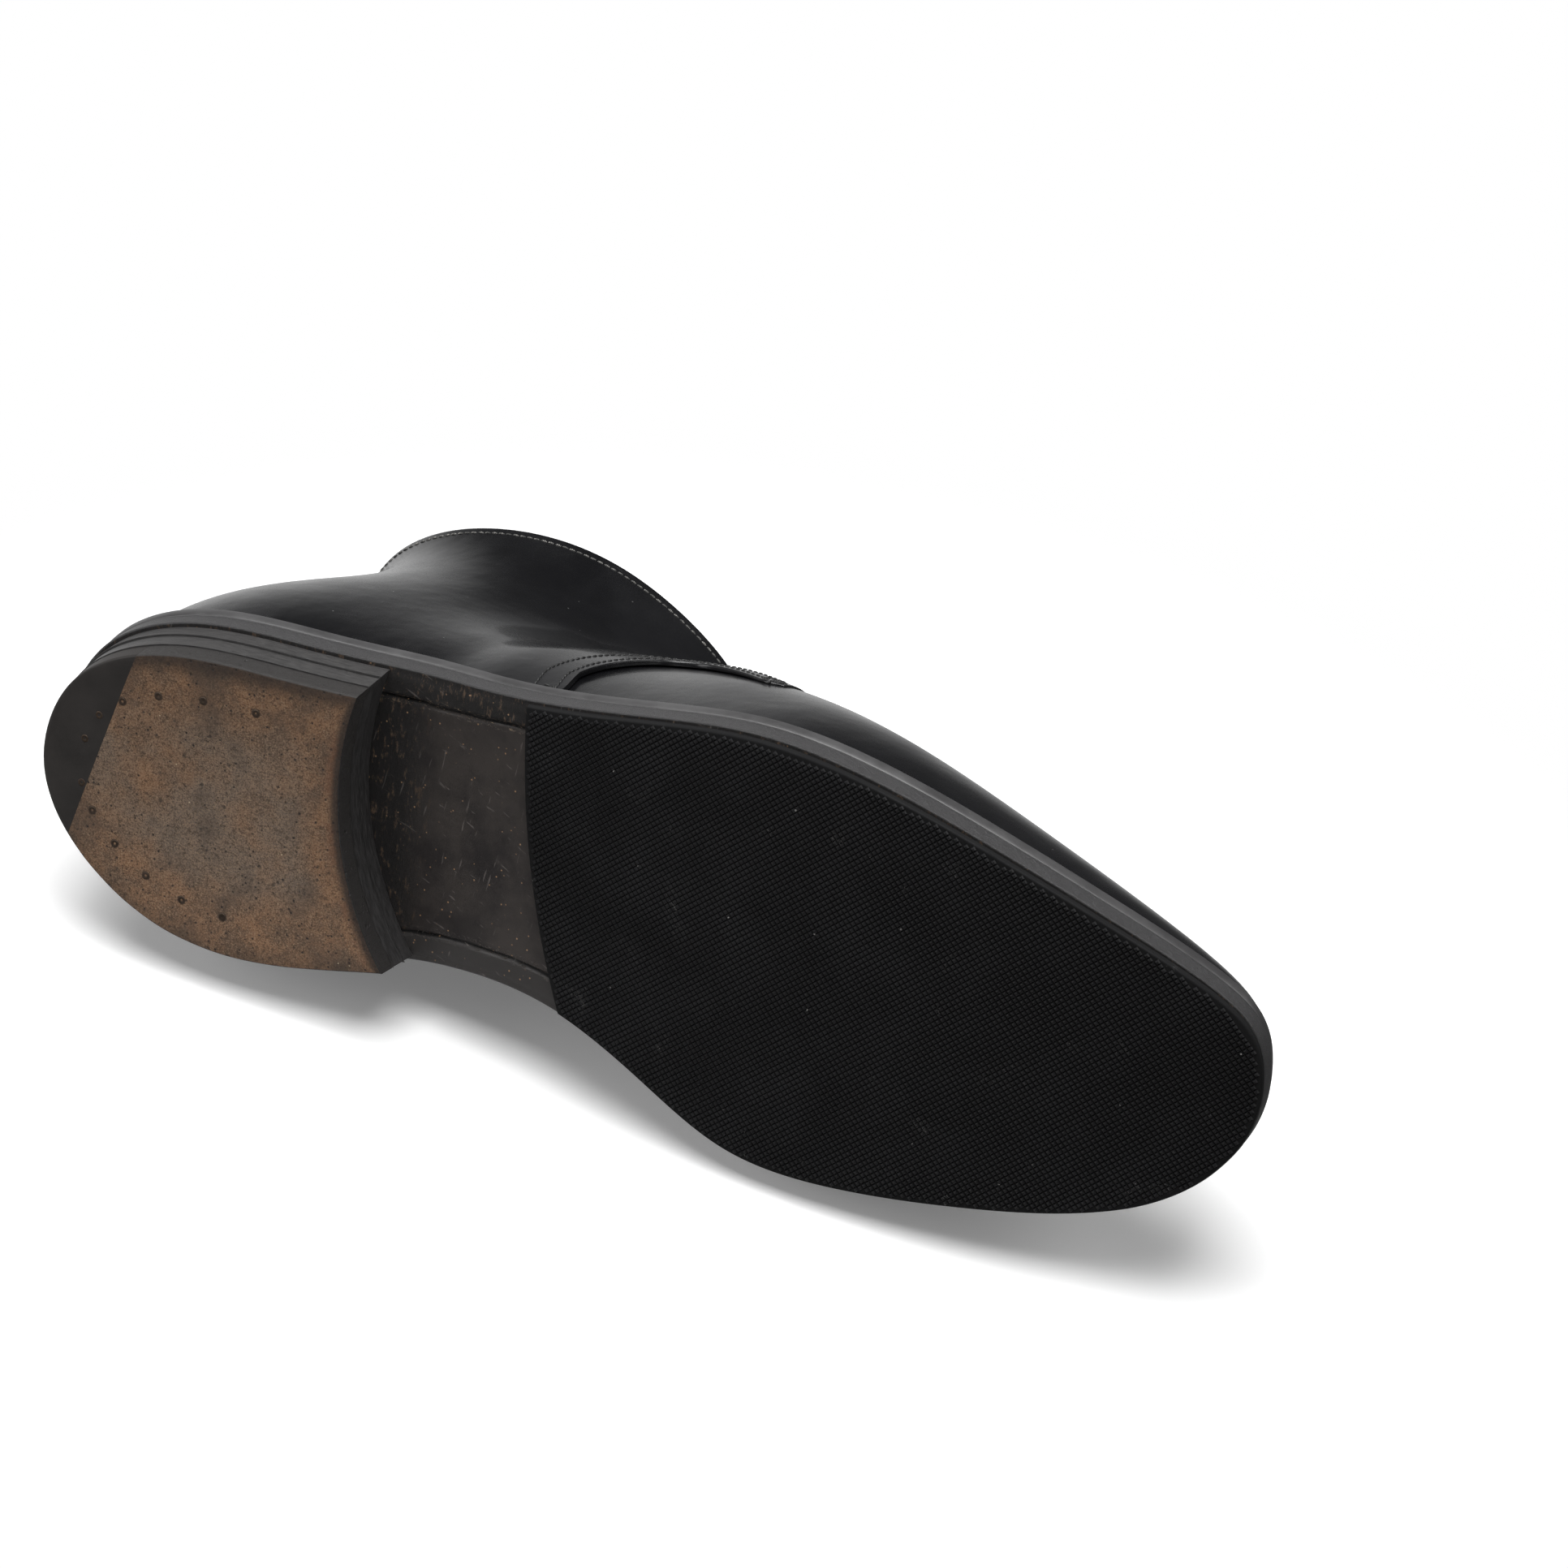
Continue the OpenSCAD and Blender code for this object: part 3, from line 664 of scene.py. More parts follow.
def build_welt():
    """The welt: a strip with a rounded outer edge and the fudge wheel's ticks on its upper face."""
    top, low, r = DECK, OUTSOLE_T + 0.02, 0.7
    loop = ([(0.5, low), (0.34, low + 0.25), (0.2, low + 0.7), (0.06, low + 1.4)]
            + [(r - r * np.cos(b), top - r + r * np.sin(b))
               for b in np.radians(np.linspace(4, 90, 7))]
            + [(1.6, top), (2.3, top), (2.9, top), (3.4, top), (3.8, top), (4.4, top), (6.0, top),
               (12.0, top), (12.0, low)])
    loop = np.array(loop + loop[:1])
    ticked = smooth(loop[:, 0], 1.0, 1.6) * (1 - smooth(loop[:, 0], 3.3, 3.9))
    ticked *= loop[:, 1] > top - 0.2
    n_ticks = 380
    s = np.linspace(-BACK, BACK, n_ticks * 6 + 1)[:, None]
    wave = np.maximum(np.cos(s * np.pi * n_ticks / BACK), -0.35)
    inset = loop[None, :, 0] + 0 * s
    lift = loop[None, :, 1] + 0.16 * ticked[None] * (wave - 0.6)
    p = sole_edge(s, inset, lift)
    solid("welt", [lifted(p, sole_z(p[..., 0]) + lift)], "boot", "welt_leather", ["welt"],
          marks={"inset": [inset]})


def waist_channel(away, x):
    """Depth of the cut channel beside the waist's edges: a groove with a raised lip outside it."""
    waver = 0.5 * np.sin(x * 0.21) + 0.3 * np.sin(x * 0.53 + 1)
    d = away - 7.6 - 0.5 * waver
    return -0.55 * np.exp(-(d / 0.35) ** 2) + 0.25 * smooth(-d, 0.2, 0.6) * smooth(away, 1.2, 3.5)


def build_outsole():
    """The leather outsole, with its stitching's channel cut beside the waist's edges."""
    grids, marks = slab(sole_edge, 0, BACK, 0.5, sole_z, lambda x: sole_z(x) + OUTSOLE_T, 420,
                        lambda h: 0.25 * (1 - h) ** 2 + 0.05 * np.exp(-((h - 0.97) / 0.03) ** 2),
                        edged(60, 0.22, 34), dz=2.5)
    under = grids[0][..., 2] < sole_z(grids[0][..., 0]) + 0.01
    grids[0][..., 2] -= np.where(under, waist_channel(marks[0], grids[0][..., 0]), 0)
    solid("outsole", grids, "boot", "sole_leather", ["outsole"], marks={"inset": marks})


TREAD_H, TREAD_PITCH, TREAD_TURN = 0.4, 1.18, np.radians(-41)


def inside(points, loop):
    """Which points lie inside a closed loop in the plane, by counting crossings."""
    x, y = points[:, :1], points[:, 1:]
    a, b = loop, np.roll(loop, -1, 0)
    spans = (a[:, 1] > y) != (b[:, 1] > y)
    cross_x = a[:, 0] + (y - a[:, 1]) / (b[:, 1] - a[:, 1] + 1e-12) * (b[:, 0] - a[:, 0])
    return (spans & (x < cross_x)).sum(1) % 2 == 1


def build_half_sole():
    """Rubber slab, and its tread of small blunt pyramids on a slanting square lattice."""
    face = lambda x: sole_z(x) - HALF_SOLE_T
    grids, marks = slab(sole_edge, 0, HALF_SOLE_BACK, 1.5, lambda x: face(x) + TREAD_H,
                        lambda x: sole_z(x) - 0.02, 300, lambda h: 0.0,
                        edged(50, 0.06, 12), dz=-1.1, roll=0.5)
    # the slab's finish is painted shade: darker than the tread, for the gaps between the studs
    solid("half_sole", grids, "boot", "sole_rubber", ["half_sole"], marks={"inset": marks})
    n = np.arange(-130, 131) * TREAD_PITCH
    i, j = (g.ravel() for g in np.meshgrid(n, n, indexing="ij"))
    c, d = np.cos(TREAD_TURN), np.sin(TREAD_TURN)
    spots = np.stack([215 + i * c - j * d, i * d + j * c], -1)
    rim = sole_edge(np.linspace(-BACK, BACK, 500)[:-1], 1.5 + 0.95, -1.1)
    spots = spots[inside(spots, rim)]
    spots = spots[spots[:, 0] > arc_x(HALF_SOLE_BACK, np.clip(spots[:, 1], -90, 90)) + 0.9]
    turn = TREAD_TURN + np.pi / 4 + np.arange(4) * np.pi / 2
    ring = np.stack([np.cos(turn), np.sin(turn)], -1) * TREAD_PITCH / np.sqrt(2)
    uneven = 0.06 * np.sin(spots @ np.array([0.9, 2.1]) * 3.7)[:, None]
    levels = [(0.86, 0.03), (0.50, -TREAD_H * 0.85), (0.34, -TREAD_H)]
    rows = []
    for width, drop in levels:
        xy = spots[:, None] + ring * width
        z = face(xy[..., 0]) + TREAD_H + drop * (1 - (drop < 0) * uneven)
        rows.append(lifted(xy, z))
    points = np.stack(rows, 1).reshape(-1, 3)
    base = np.arange(len(spots))[:, None, None] * 12
    k = np.arange(4)
    walls = np.stack([k, (k + 1) % 4, (k + 1) % 4 + 4, k + 4], -1)
    faces = np.concatenate([walls, walls + 4, [[8, 9, 10, 11]], [[3, 2, 1, 0]]])[None] + base
    mesh = new_mesh("half_sole_tread", points, faces.reshape(-1, 4)[:, ::-1].tolist())
    piece("half_sole_tread", mesh, "boot", "sole_rubber", material="tread", flat=True)


TIP_LINE = np.array([(24.5, -34.4), (8.4, 17.1)])
TIP_ARC_R = 4000.0                          # the tip's straight edge, as an arc of a vast circle
TOP_JOINT, LIFT_JOINT = 6.0, 11.0           # heights of the heel's joints between its layers
NAIL_ROW = (13.0, 10.2, 12.6, 6)            # inset, first and last place, count on each side


def tip_arc():
    """An arc whose centre lies square to the middle of the tip's front line."""
    along = unit(TIP_LINE[1] - TIP_LINE[0])
    centre = TIP_LINE.mean(0) + np.array([along[1], -along[0]]) * TIP_ARC_R
    return (*centre, TIP_ARC_R)


def level(z):
    """A flat height, the same for every x."""
    return lambda x: z + 0 * np.asarray(x)


def nail_spots():
    """Nails spaced evenly over places along both sides, moved in from the edge."""
    inset, first, last, n = NAIL_ROW
    s = np.concatenate([side * np.linspace(first, last, n) for side in (-1, 1)])
    return edge(s, inset, 0.0)


def build_heel():
    """Two leather lifts, the leatherboard top piece and the rubber tip let into its back.

    The wall tapers evenly through all of them, with a fine line cut at each joint."""
    spots = nail_spots()
    for name, start, end, inset, taper, low, high, slot in (
            ("heel_lift_upper", BACK, BREAST, 1.6, (0.45, 0.0), level(LIFT_JOINT),
             lambda x: sole_z(x) - 0.02, "heel_leather"),
            ("heel_lift_lower", BACK, BREAST, 2.3, (0.2, -0.25), level(TOP_JOINT),
             level(LIFT_JOINT - 0.02), "heel_leather"),
            ("top_piece", tip_arc(), BREAST, 3.0, (0.0, -0.5), level(0.0), level(TOP_JOINT - 0.02),
             "leatherboard"),
            ("rubber_tip", BACK, tip_arc(), 3.0, (0.0, -0.5), level(0.0), level(TOP_JOINT - 0.02),
             "tip_rubber")):
        def wall(h):
            return mix(*taper, h) + 0.09 * np.exp(-((h - 0.975) / 0.02) ** 2)
        grids, marks = slab(edge, start, end, inset, low, high, 190, wall,
                            edged(95, 0.05, 8), roll=0.4 if low(0) == 0 else 0.1)
        for g, m in zip(grids, marks):
            worn = 0.25 * np.exp(-np.abs(m) / 1.6) + 0.05 * np.sin(g[..., 0] * 0.4) * np.sin(
                g[..., 1] * 0.33)
            g[..., 2] += np.where(g[..., 2] < 0.5, np.maximum(worn, 0) + 0.1, 0)
        solid(name, grids, "boot", slot, [name], marks={
            "inset": marks,
            "nail": [np.min(np.linalg.norm(g[..., None, :2] - spots, axis=-1), -1) for g in grids],
            "front": [np.hypot(g[..., 0] - BREAST[0], g[..., 1] - BREAST[1]) - BREAST[2]
                      for g in grids]})


def build_nails():
    """The top piece's nails: worn heads with a sunk middle, and their shafts."""
    turn = np.linspace(0, 2 * np.pi, 25)
    profile = [(0.001, 0.12), (0.3, 0.1), (0.5, 0.03), (0.72, 0.02), (0.92, 0.06), (1.0, 0.16),
               (0.8, 0.4), (0.8, 9.5), (0.001, 9.9)]
    r, z = np.array(profile).T
    grids = [np.stack([x + r[:, None] * np.cos(turn), y + r[:, None] * np.sin(turn),
                       z[:, None] + 0 * turn], -1) for x, y in nail_spots()]
    solid("top_piece_nails", grids, "boot", "nail_steel", ["top_piece_nails"])


def build_sock_liner():
    """The sock liner: thin leather with a rounded edge, dished a little where the foot presses."""
    def dish(x):
        return 0.5 * np.exp(-((x - 55) / 26) ** 2) + 0.35 * np.exp(-((x - 205) / 30) ** 2)
    low = DECK + 3.0
    grids, marks = slab(sole_edge, 0, BACK, 10.2, lambda x: sole_z(x) + low + 0.02,
                        lambda x: sole_z(x) + low + 1.0, 200,
                        lambda h: 0.3 * np.abs(2 * h - 1) ** 4, edged(60, 0.05, 6), low, 0.3)
    g, m = grids[0], marks[0]
    on_top = g[..., 2] > sole_z(g[..., 0]) + low + 0.9
    g[..., 2] -= np.where(on_top, dish(g[..., 0]) * smooth(m, 3, 14), 0)
    solid("sock_liner", grids, "boot", "lining_leather", ["sock_liner"], marks={"inset": marks})


def make_all():
    """Every piece, from the upper down."""
    build_vamp()
    for side, name in ((-1, "lateral"), (1, "medial")):
        punch(build_quarter(side, "quarter_" + name), side)
        punch(build_lining(side, "quarter_lining_" + name), side)
        sew_quarter(side, name)
    build_vamp_lining()
    build_backstay()
    sew_backstay()
    build_tongue()
    build_welt()
    build_outsole()
    build_half_sole()
    build_heel()
    build_nails()
    build_sock_liner()


# ------------------------------------------------------------------ materials
class Wire:
    """A socket of a material's nodes that takes part in sums."""

    def __init__(self, tree, socket):
        self.tree, self.socket = tree, socket

    def math(self, kind, *rest):
        """One Math node on this wire and the rest."""
        return self.tree.node("ShaderNodeMath", {"operation": kind}, dict(enumerate((self, *rest))))

    def __add__(self, other): return self.math("ADD", other)
    def __mul__(self, other): return self.math("MULTIPLY", other)
    def __sub__(self, other): return self.math("SUBTRACT", other)
    def __rsub__(self, other): return self.math("MULTIPLY", -1.0).math("ADD", other)
    __radd__, __rmul__ = __add__, __mul__

    def between(self, lo, hi, a=0.0, b=1.0):
        """Smooth step from a below lo to b above hi."""
        return self.tree.node("ShaderNodeMapRange", {"interpolation_type": "SMOOTHSTEP"}, {
            "Value": self, "From Min": lo, "From Max": hi, "To Min": a, "To Max": b})

    def below(self, lo, hi, full=1.0):
        """Smooth step from full below lo to 0 above hi."""
        return self.between(lo, hi, full, 0.0)

    def off(self, value):
        """Distance from a value."""
        return (self - value).math("ABSOLUTE")


class Nodes:
    """The nodes of one tree."""

    def __init__(self, tree):
        self.nodes, self.links = tree.nodes, tree.links

    def put(self, socket, value):
        """A wire is linked to the socket; any other value is set on it."""
        if isinstance(value, Wire):
            self.links.new(value.socket, socket)
        elif isinstance(value, tuple) and len(socket.default_value) == 4:
            socket.default_value = (*value, 1.0)
        else:
            socket.default_value = value

    def node(self, kind, settings=None, inputs=None, out=0):
        """One output of a node whose settings are made first, then its sockets."""
        n = self.nodes.new(kind)
        for key, value in (settings or {}).items():
            setattr(n, key, value)
        for key, value in (inputs or {}).items():
            self.put(n.inputs[key], value)
        return Wire(self, n.outputs[out])


class Finish(Nodes):
    """The nodes of one material; lengths in them are in millimetres."""

    def __init__(self, name):
        material = bpy.data.materials.new(name)
        material.use_nodes = True
        super().__init__(material.node_tree)
        self.place = self.node("ShaderNodeVectorMath", {"operation": "SCALE"}, {
            0: self.node("ShaderNodeTexCoord", out="Object"), "Scale": 1000.0})
        self.colour = None
        materials[name] = material

    def stretched(self, x, y, z, turn=0.0):
        """The place with each axis scaled, first turned about z."""
        return self.node("ShaderNodeMapping", {"vector_type": "TEXTURE"}, {
            "Vector": self.place, "Rotation": (0.0, 0.0, turn), "Scale": (1 / x, 1 / y, 1 / z)})

    def noise(self, scale, detail=3.0, rough=0.5, where=None, twist=0.0):
        """Fractal noise from 0 to 1."""
        return self.node("ShaderNodeTexNoise", None, {
            "Vector": where or self.place, "Scale": scale, "Detail": detail, "Roughness": rough,
            "Distortion": twist})

    def cells(self, scale, feature="F1"):
        """Distance to the nearest cell point, or to the cell's edge, in the texture's own units."""
        return self.node("ShaderNodeTexVoronoi", {"feature": feature}, {
            "Vector": self.place, "Scale": scale}, "Distance")

    def specks(self, scale, size, soft, patch, lo, hi, detail=3.0):
        """Round specks of size to soft about the cell points, only where patches of noise rise."""
        return self.cells(scale).below(size, soft) * self.noise(patch, detail).between(lo, hi)

    def mark(self, name):
        """A piece's own attribute."""
        return self.node("ShaderNodeAttribute", {"attribute_name": name}, out="Fac")

    def axis(self, k):
        """One coordinate of the place."""
        return self.node("ShaderNodeSeparateXYZ", None, {0: self.place}, k)

    def mix(self, share, a, b):
        """Colour a where the share is 0, b where it is 1."""
        return self.node("ShaderNodeMix", {"data_type": "RGBA"}, {0: share, 6: a, 7: b}, 2)

    def over(self, share, tone):
        """Lays a tone over the colour so far."""
        self.colour = self.mix(share, self.colour, tone)

    def bump(self, height):
        """Normal of a relief given in millimetres."""
        return self.node("ShaderNodeBump", None, {
            "Height": height, "Distance": MM, "Strength": 1.0})

    def done(self, **values):
        """The colour and the given values go into the shader."""
        for key, value in {"Base_Color": self.colour, **values}.items():
            self.put(self.nodes["Principled BSDF"].inputs[key.replace("_", " ")], value)


def calf(name, grain, dark, worn, rough):
    """Box calf: fine irregular grain cells, faint pores, drifting polish and light scuffs."""
    f = Finish(name)
    cell = f.cells(1.15 / grain)
    fine = f.noise(2.6 / grain, 4.0, 0.6)
    drift = f.noise(0.035, 3.0, 0.6)
    scuff = f.noise(0.9, 5.0, 0.7, f.stretched(0.18, 1.0, 0.5, 0.5)).between(0.66, 0.8)
    dust = f.specks(0.22, 0.035, 0.05, 0.05, 0.5, 0.6)
    f.colour = f.mix(drift.between(0.35, 0.7), dark, worn)
    f.over(scuff * 0.3, (0.04, 0.04, 0.043))
    f.over(dust * 0.5, (0.3, 0.3, 0.29))
    relief = cell * -0.005 * grain + fine * 0.008 * grain + f.noise(0.12, 2.0) * 0.2
    f.done(Roughness=drift.between(0.3, 0.75, rough - 0.06, rough + 0.08)
           + scuff * 0.12 + fine.between(0.3, 0.8, 0.0, 0.08),
           Normal=f.bump(relief), Specular_IOR_Level=0.45, Coat_Weight=0.35, Coat_Roughness=0.1)


def bark(name, light, deep, scale, rough):
    """Plain undyed or dyed flesh leather and board: fibres, flecks and a mottled tone."""
    f = Finish(name)
    mottle = f.noise(0.09 * scale, 5.0, 0.62)
    fibre = f.noise(1.6 * scale, 5.0, 0.7, f.stretched(0.35, 1.0, 1.0))
    f.colour = f.mix(mottle.between(0.35, 0.68), light, deep)
    f.over(fibre.between(0.55, 0.8) * 0.5, deep)
    f.done(Roughness=fibre.between(0.2, 0.8, rough - 0.08, rough + 0.1),
           Normal=f.bump(fibre * 0.05 + mottle * 0.1))


def welt_edge(name):
    """Blacked and waxed edge: burnished, with faint lengthways lines and small nicks."""
    f = Finish(name)
    lines = f.noise(1.4, 4.0, 0.6, f.stretched(0.12, 0.12, 1.0))
    drift = f.noise(0.06, 4.0, 0.6)
    nicks = f.specks(0.16, 0.03, 0.05, 0.07, 0.48, 0.6)
    f.colour = f.mix(drift.between(0.35, 0.7), (0.042, 0.041, 0.042), (0.075, 0.074, 0.075))
    f.over(nicks * 0.6, (0.2, 0.19, 0.17))
    f.done(Roughness=drift.between(0.3, 0.7, 0.3, 0.42)
           + lines.between(0.3, 0.8, 0.0, 0.1), Normal=f.bump(lines * 0.05 + drift * 0.2),
           Specular_IOR_Level=0.6)


def outsole_leather(name):
    """Stained sole leather: glazed in the middle, rough and streaked towards the half-sole and the
    heel, a dark margin outside the channel with pale fibres torn up along it."""
    f = Finish(name)
    inset, x, y = f.mark("inset"), f.axis(0), f.axis(1)
    margin = inset.below(7.0, 7.8)
    outer = y.below(-20.0, 10.0)
    glaze = f.noise(0.07, 4.0, 0.6)
    streak = f.noise(0.7, 7.0, 0.78, f.stretched(1.0, 0.35, 1.0))
    rough_end = (x + glaze * 12.0).below(-59.0, -46.0)
    rough = rough_end.math("MAXIMUM", margin * outer)
    brown = f.mix(glaze.between(0.35, 0.7), (0.040, 0.034, 0.031), (0.017, 0.014, 0.014))
    f.colour = f.mix(rough * 0.9, brown, (0.004, 0.003, 0.003))
    f.over(streak.between(0.54, 0.64) * rough, (0.09, 0.055, 0.032))
    f.over(margin * (1.0 - outer), (0.034, 0.031, 0.030))
    fibre = f.noise(2.0, 6.0, 0.8, f.stretched(0.35, 1.0, 1.0)).between(0.55, 0.66)
    at_lip = inset.between(6.0, 7.2) * inset.below(8.0, 9.8)
    f.over(at_lip * fibre * (outer * 0.7 + 0.3), (0.36, 0.26, 0.16))
    crack = inset.off(7.6).below(0.1, 0.6, 0.95) * (1.0 - fibre * outer * 0.7)
    f.over(crack, (0.003, 0.003, 0.003))
    flecks = f.specks(0.5, 0.07, 0.13, 0.2, 0.42, 0.55)
    f.over(flecks * 0.85, (0.32, 0.19, 0.10))
    scratch = f.noise(1.0, 3.0, 0.5, f.stretched(0.07, 1.0, 1.0, 0.35)).between(0.66, 0.72)
    nicks = f.noise(1.2, 3.0, 0.5, f.stretched(1.0, 0.09, 1.0, 0.2)).between(0.67, 0.73)
    f.over((scratch + nicks) * 0.4, (0.16, 0.14, 0.13))
    wall = inset.below(0.3, 0.6)
    f.over(wall, (0.045, 0.044, 0.045))
    sheen = glaze.between(0.3, 0.75, 0.33, 0.5) + rough * 0.35 + scratch * 0.1
    f.done(Roughness=sheen + wall * (0.36 - sheen),
           Normal=f.bump(streak * rough * 0.5 + glaze * 0.25 + fibre * at_lip * 0.2
                         + f.noise(3.0, 3.0, 0.6) * 0.03), Specular_IOR_Level=0.5)


def rubber(name, colour, dusty, rough):
    """Moulded rubber: dull black with dust in its low places and a few stray fibres of lint."""
    f = Finish(name)
    drift = f.noise(0.05, 4.0, 0.6)
    lint = f.specks(0.12, 0.02, 0.035, 0.09, 0.45, 0.55)
    thread = f.noise(0.5, 1.0, 0.5, f.stretched(0.1, 1.2, 1.0, 0.8), 2.5)
    hair = thread.off(0.5).below(0.0, 0.004) * f.noise(
        0.11, 2.0).between(0.66, 0.7)
    f.colour = f.mix(drift.between(0.3, 0.75), colour, dusty)
    f.over(lint * 0.7 + hair * 0.5, (0.45, 0.44, 0.42))
    cut = f.mark("inset").below(-0.9, -0.4, 0.7) * f.noise(0.7, 4.0).between(0.35, 0.6)
    f.over(cut, (0.16, 0.13, 0.11))
    f.done(Roughness=drift.between(0.3, 0.7, rough - 0.05, rough + 0.1),
           Normal=f.bump(f.noise(2.5, 4.0, 0.6) * 0.03), Specular_IOR_Level=0.35)


def heel_wall(name):
    """Blacked heel leather in thin pressed layers, lighter where the wax is burnished."""
    f = Finish(name)
    z, inset = f.axis(2), f.mark("inset")
    waver = f.noise(0.03, 2.0) * 0.5
    sheet = ((z + waver) * 0.62).math("FRACT")
    line = sheet.off(0.5).below(0.0, 0.05) * f.noise(0.08).between(0.4, 0.55)
    grain = f.noise(1.3, 5.0, 0.65, f.stretched(0.25, 0.25, 1.6))
    f.colour = f.mix(grain.between(0.3, 0.75), (0.036, 0.035, 0.035), (0.058, 0.056, 0.055))
    breast = inset.below(-0.8, -0.3)
    f.over(breast, f.mix(grain.between(0.35, 0.7), (0.018, 0.017, 0.017), (0.045, 0.043, 0.043)))
    f.over(line * 0.85, (0.006, 0.006, 0.006))
    f.done(Roughness=grain.between(0.3, 0.8, 0.36, 0.5) + breast * 0.15,
           Normal=f.bump(line * -0.12 + grain * 0.08), Specular_IOR_Level=0.55)


def leatherboard(name):
    """Pressed leather fibre: orange-brown at the edges and greyer in the worn middle, crumbly and
    pitted, with dark wax run in from the edges and thin rings round the nails."""
    f = Finish(name)
    inset, nail, front, y = f.mark("inset"), f.mark("nail"), f.mark("front"), f.axis(1)
    mottle, patch = f.noise(0.13, 6.0, 0.68), f.noise(0.045, 3.0, 0.55)
    crumb = f.noise(0.8, 8.0, 0.85)
    grit = f.noise(2.4, 5.0, 0.8)
    middle = inset.between(9.0, 24.0) * front.between(4.0, 14.0)
    f.colour = f.mix(mottle.between(0.36, 0.66), (0.20, 0.105, 0.052), (0.115, 0.068, 0.040))
    f.over(middle * patch.between(0.3, 0.6) * 0.85, (0.150, 0.112, 0.082))
    f.over(crumb.between(0.50, 0.62) * 0.85, (0.028, 0.018, 0.012))
    f.over(grit.between(0.52, 0.62) * 0.6, (0.30, 0.20, 0.12))
    f.over(grit.between(0.49, 0.40) * 0.6, (0.020, 0.014, 0.010))
    f.over(patch.between(0.5, 0.68) * 0.6, (0.05, 0.036, 0.027))
    pits = f.specks(0.6, 0.13, 0.22, 0.25, 0.45, 0.55, 2.0)
    big = f.cells(0.17).below(0.05, 0.1)
    f.over(pits * 0.8 + big * 0.6, (0.010, 0.008, 0.007))
    fleck = f.specks(0.3, 0.035, 0.07, 0.3, 0.54, 0.58)
    f.over(fleck * 0.8, (0.50, 0.40, 0.25))
    stain = (inset + crumb * 3.0).below(2.3, 7.5) * y.between(-8.0, 22.0, 1.0, 0.4)
    fringe = (front + crumb * 3.0).below(2.0, 4.6)
    f.over((stain * 0.8).math("MAXIMUM", fringe * 0.85), (0.020, 0.014, 0.011))
    rust = (front + mottle * 6.0).below(4.0, 8.0) * (1.0 - fringe) * mottle.between(0.45, 0.6)
    f.over(rust * 0.6, (0.22, 0.085, 0.035))
    ring = nail.off(1.0).below(0.0, 0.3, 0.75)
    f.over(ring, (0.02, 0.014, 0.010))
    wall = inset.below(0.1, 0.45)
    f.over(wall, (0.030, 0.028, 0.027))
    f.done(Roughness=crumb.between(0.3, 0.7, 0.6, 0.78) - wall * 0.24,
           Normal=f.bump(crumb * 0.2 + grit * 0.08 - pits * 0.25 - big * 0.2 + mottle * 0.3),
           Specular_IOR_Level=0.35)


def metal(name, colour, rough, tarnish):
    """Drawn or pressed metal with fine drawing marks and patches of tarnish."""
    f = Finish(name)
    marks = f.noise(2.4, 3.0, 0.6, f.stretched(0.2, 1.0, 1.0))
    patch = f.noise(0.5, 4.0, 0.6).between(0.45, 0.7)
    f.done(Base_Color=f.mix(patch, colour, tarnish), Metallic=patch.between(0.0, 1.0, 1.0, 0.6),
           Roughness=marks.between(0.3, 0.7, rough, rough + 0.15) + patch * 0.2,
           Normal=f.bump(marks * 0.02))


def cork(name):
    """Granulated cork in glue: round grains in browns with dark seams."""
    f = Finish(name)
    grain = f.cells(0.5)
    seam = f.cells(0.5, "DISTANCE_TO_EDGE").below(0.02, 0.1)
    f.colour = f.mix(f.noise(0.5, 3.0).between(0.35, 0.65), (0.36, 0.21, 0.10), (0.20, 0.11, 0.05))
    f.over(seam * 0.8, (0.06, 0.035, 0.02))
    f.done(Roughness=grain.between(0.0, 0.8, 0.75, 0.9),
           Normal=f.bump(grain * -0.2 - seam * 0.15))


def thread(name, colour, pale, rough):
    """Waxed twisted thread in slanting plies, whose ridges turn pale in patches: a painted
    highlight for the thread's glints.
    """
    f = Finish(name)
    ply = f.node("ShaderNodeTexWave", {"bands_direction": "DIAGONAL"}, {
        "Vector": f.place, "Scale": 1.1, "Distortion": 1.5, "Detail": 2.0}, "Fac")
    glint_patches = f.noise(0.6, 3.0).between(0.4, 0.65)
    # painted highlight: the plies' ridges take the pale tone in patches, standing in for glints on
    # the thread
    f.done(Base_Color=f.mix(ply * glint_patches, colour, pale), Normal=f.bump(ply * 0.05),
           Roughness=ply.between(0.0, 1.0, rough, rough + 0.2))


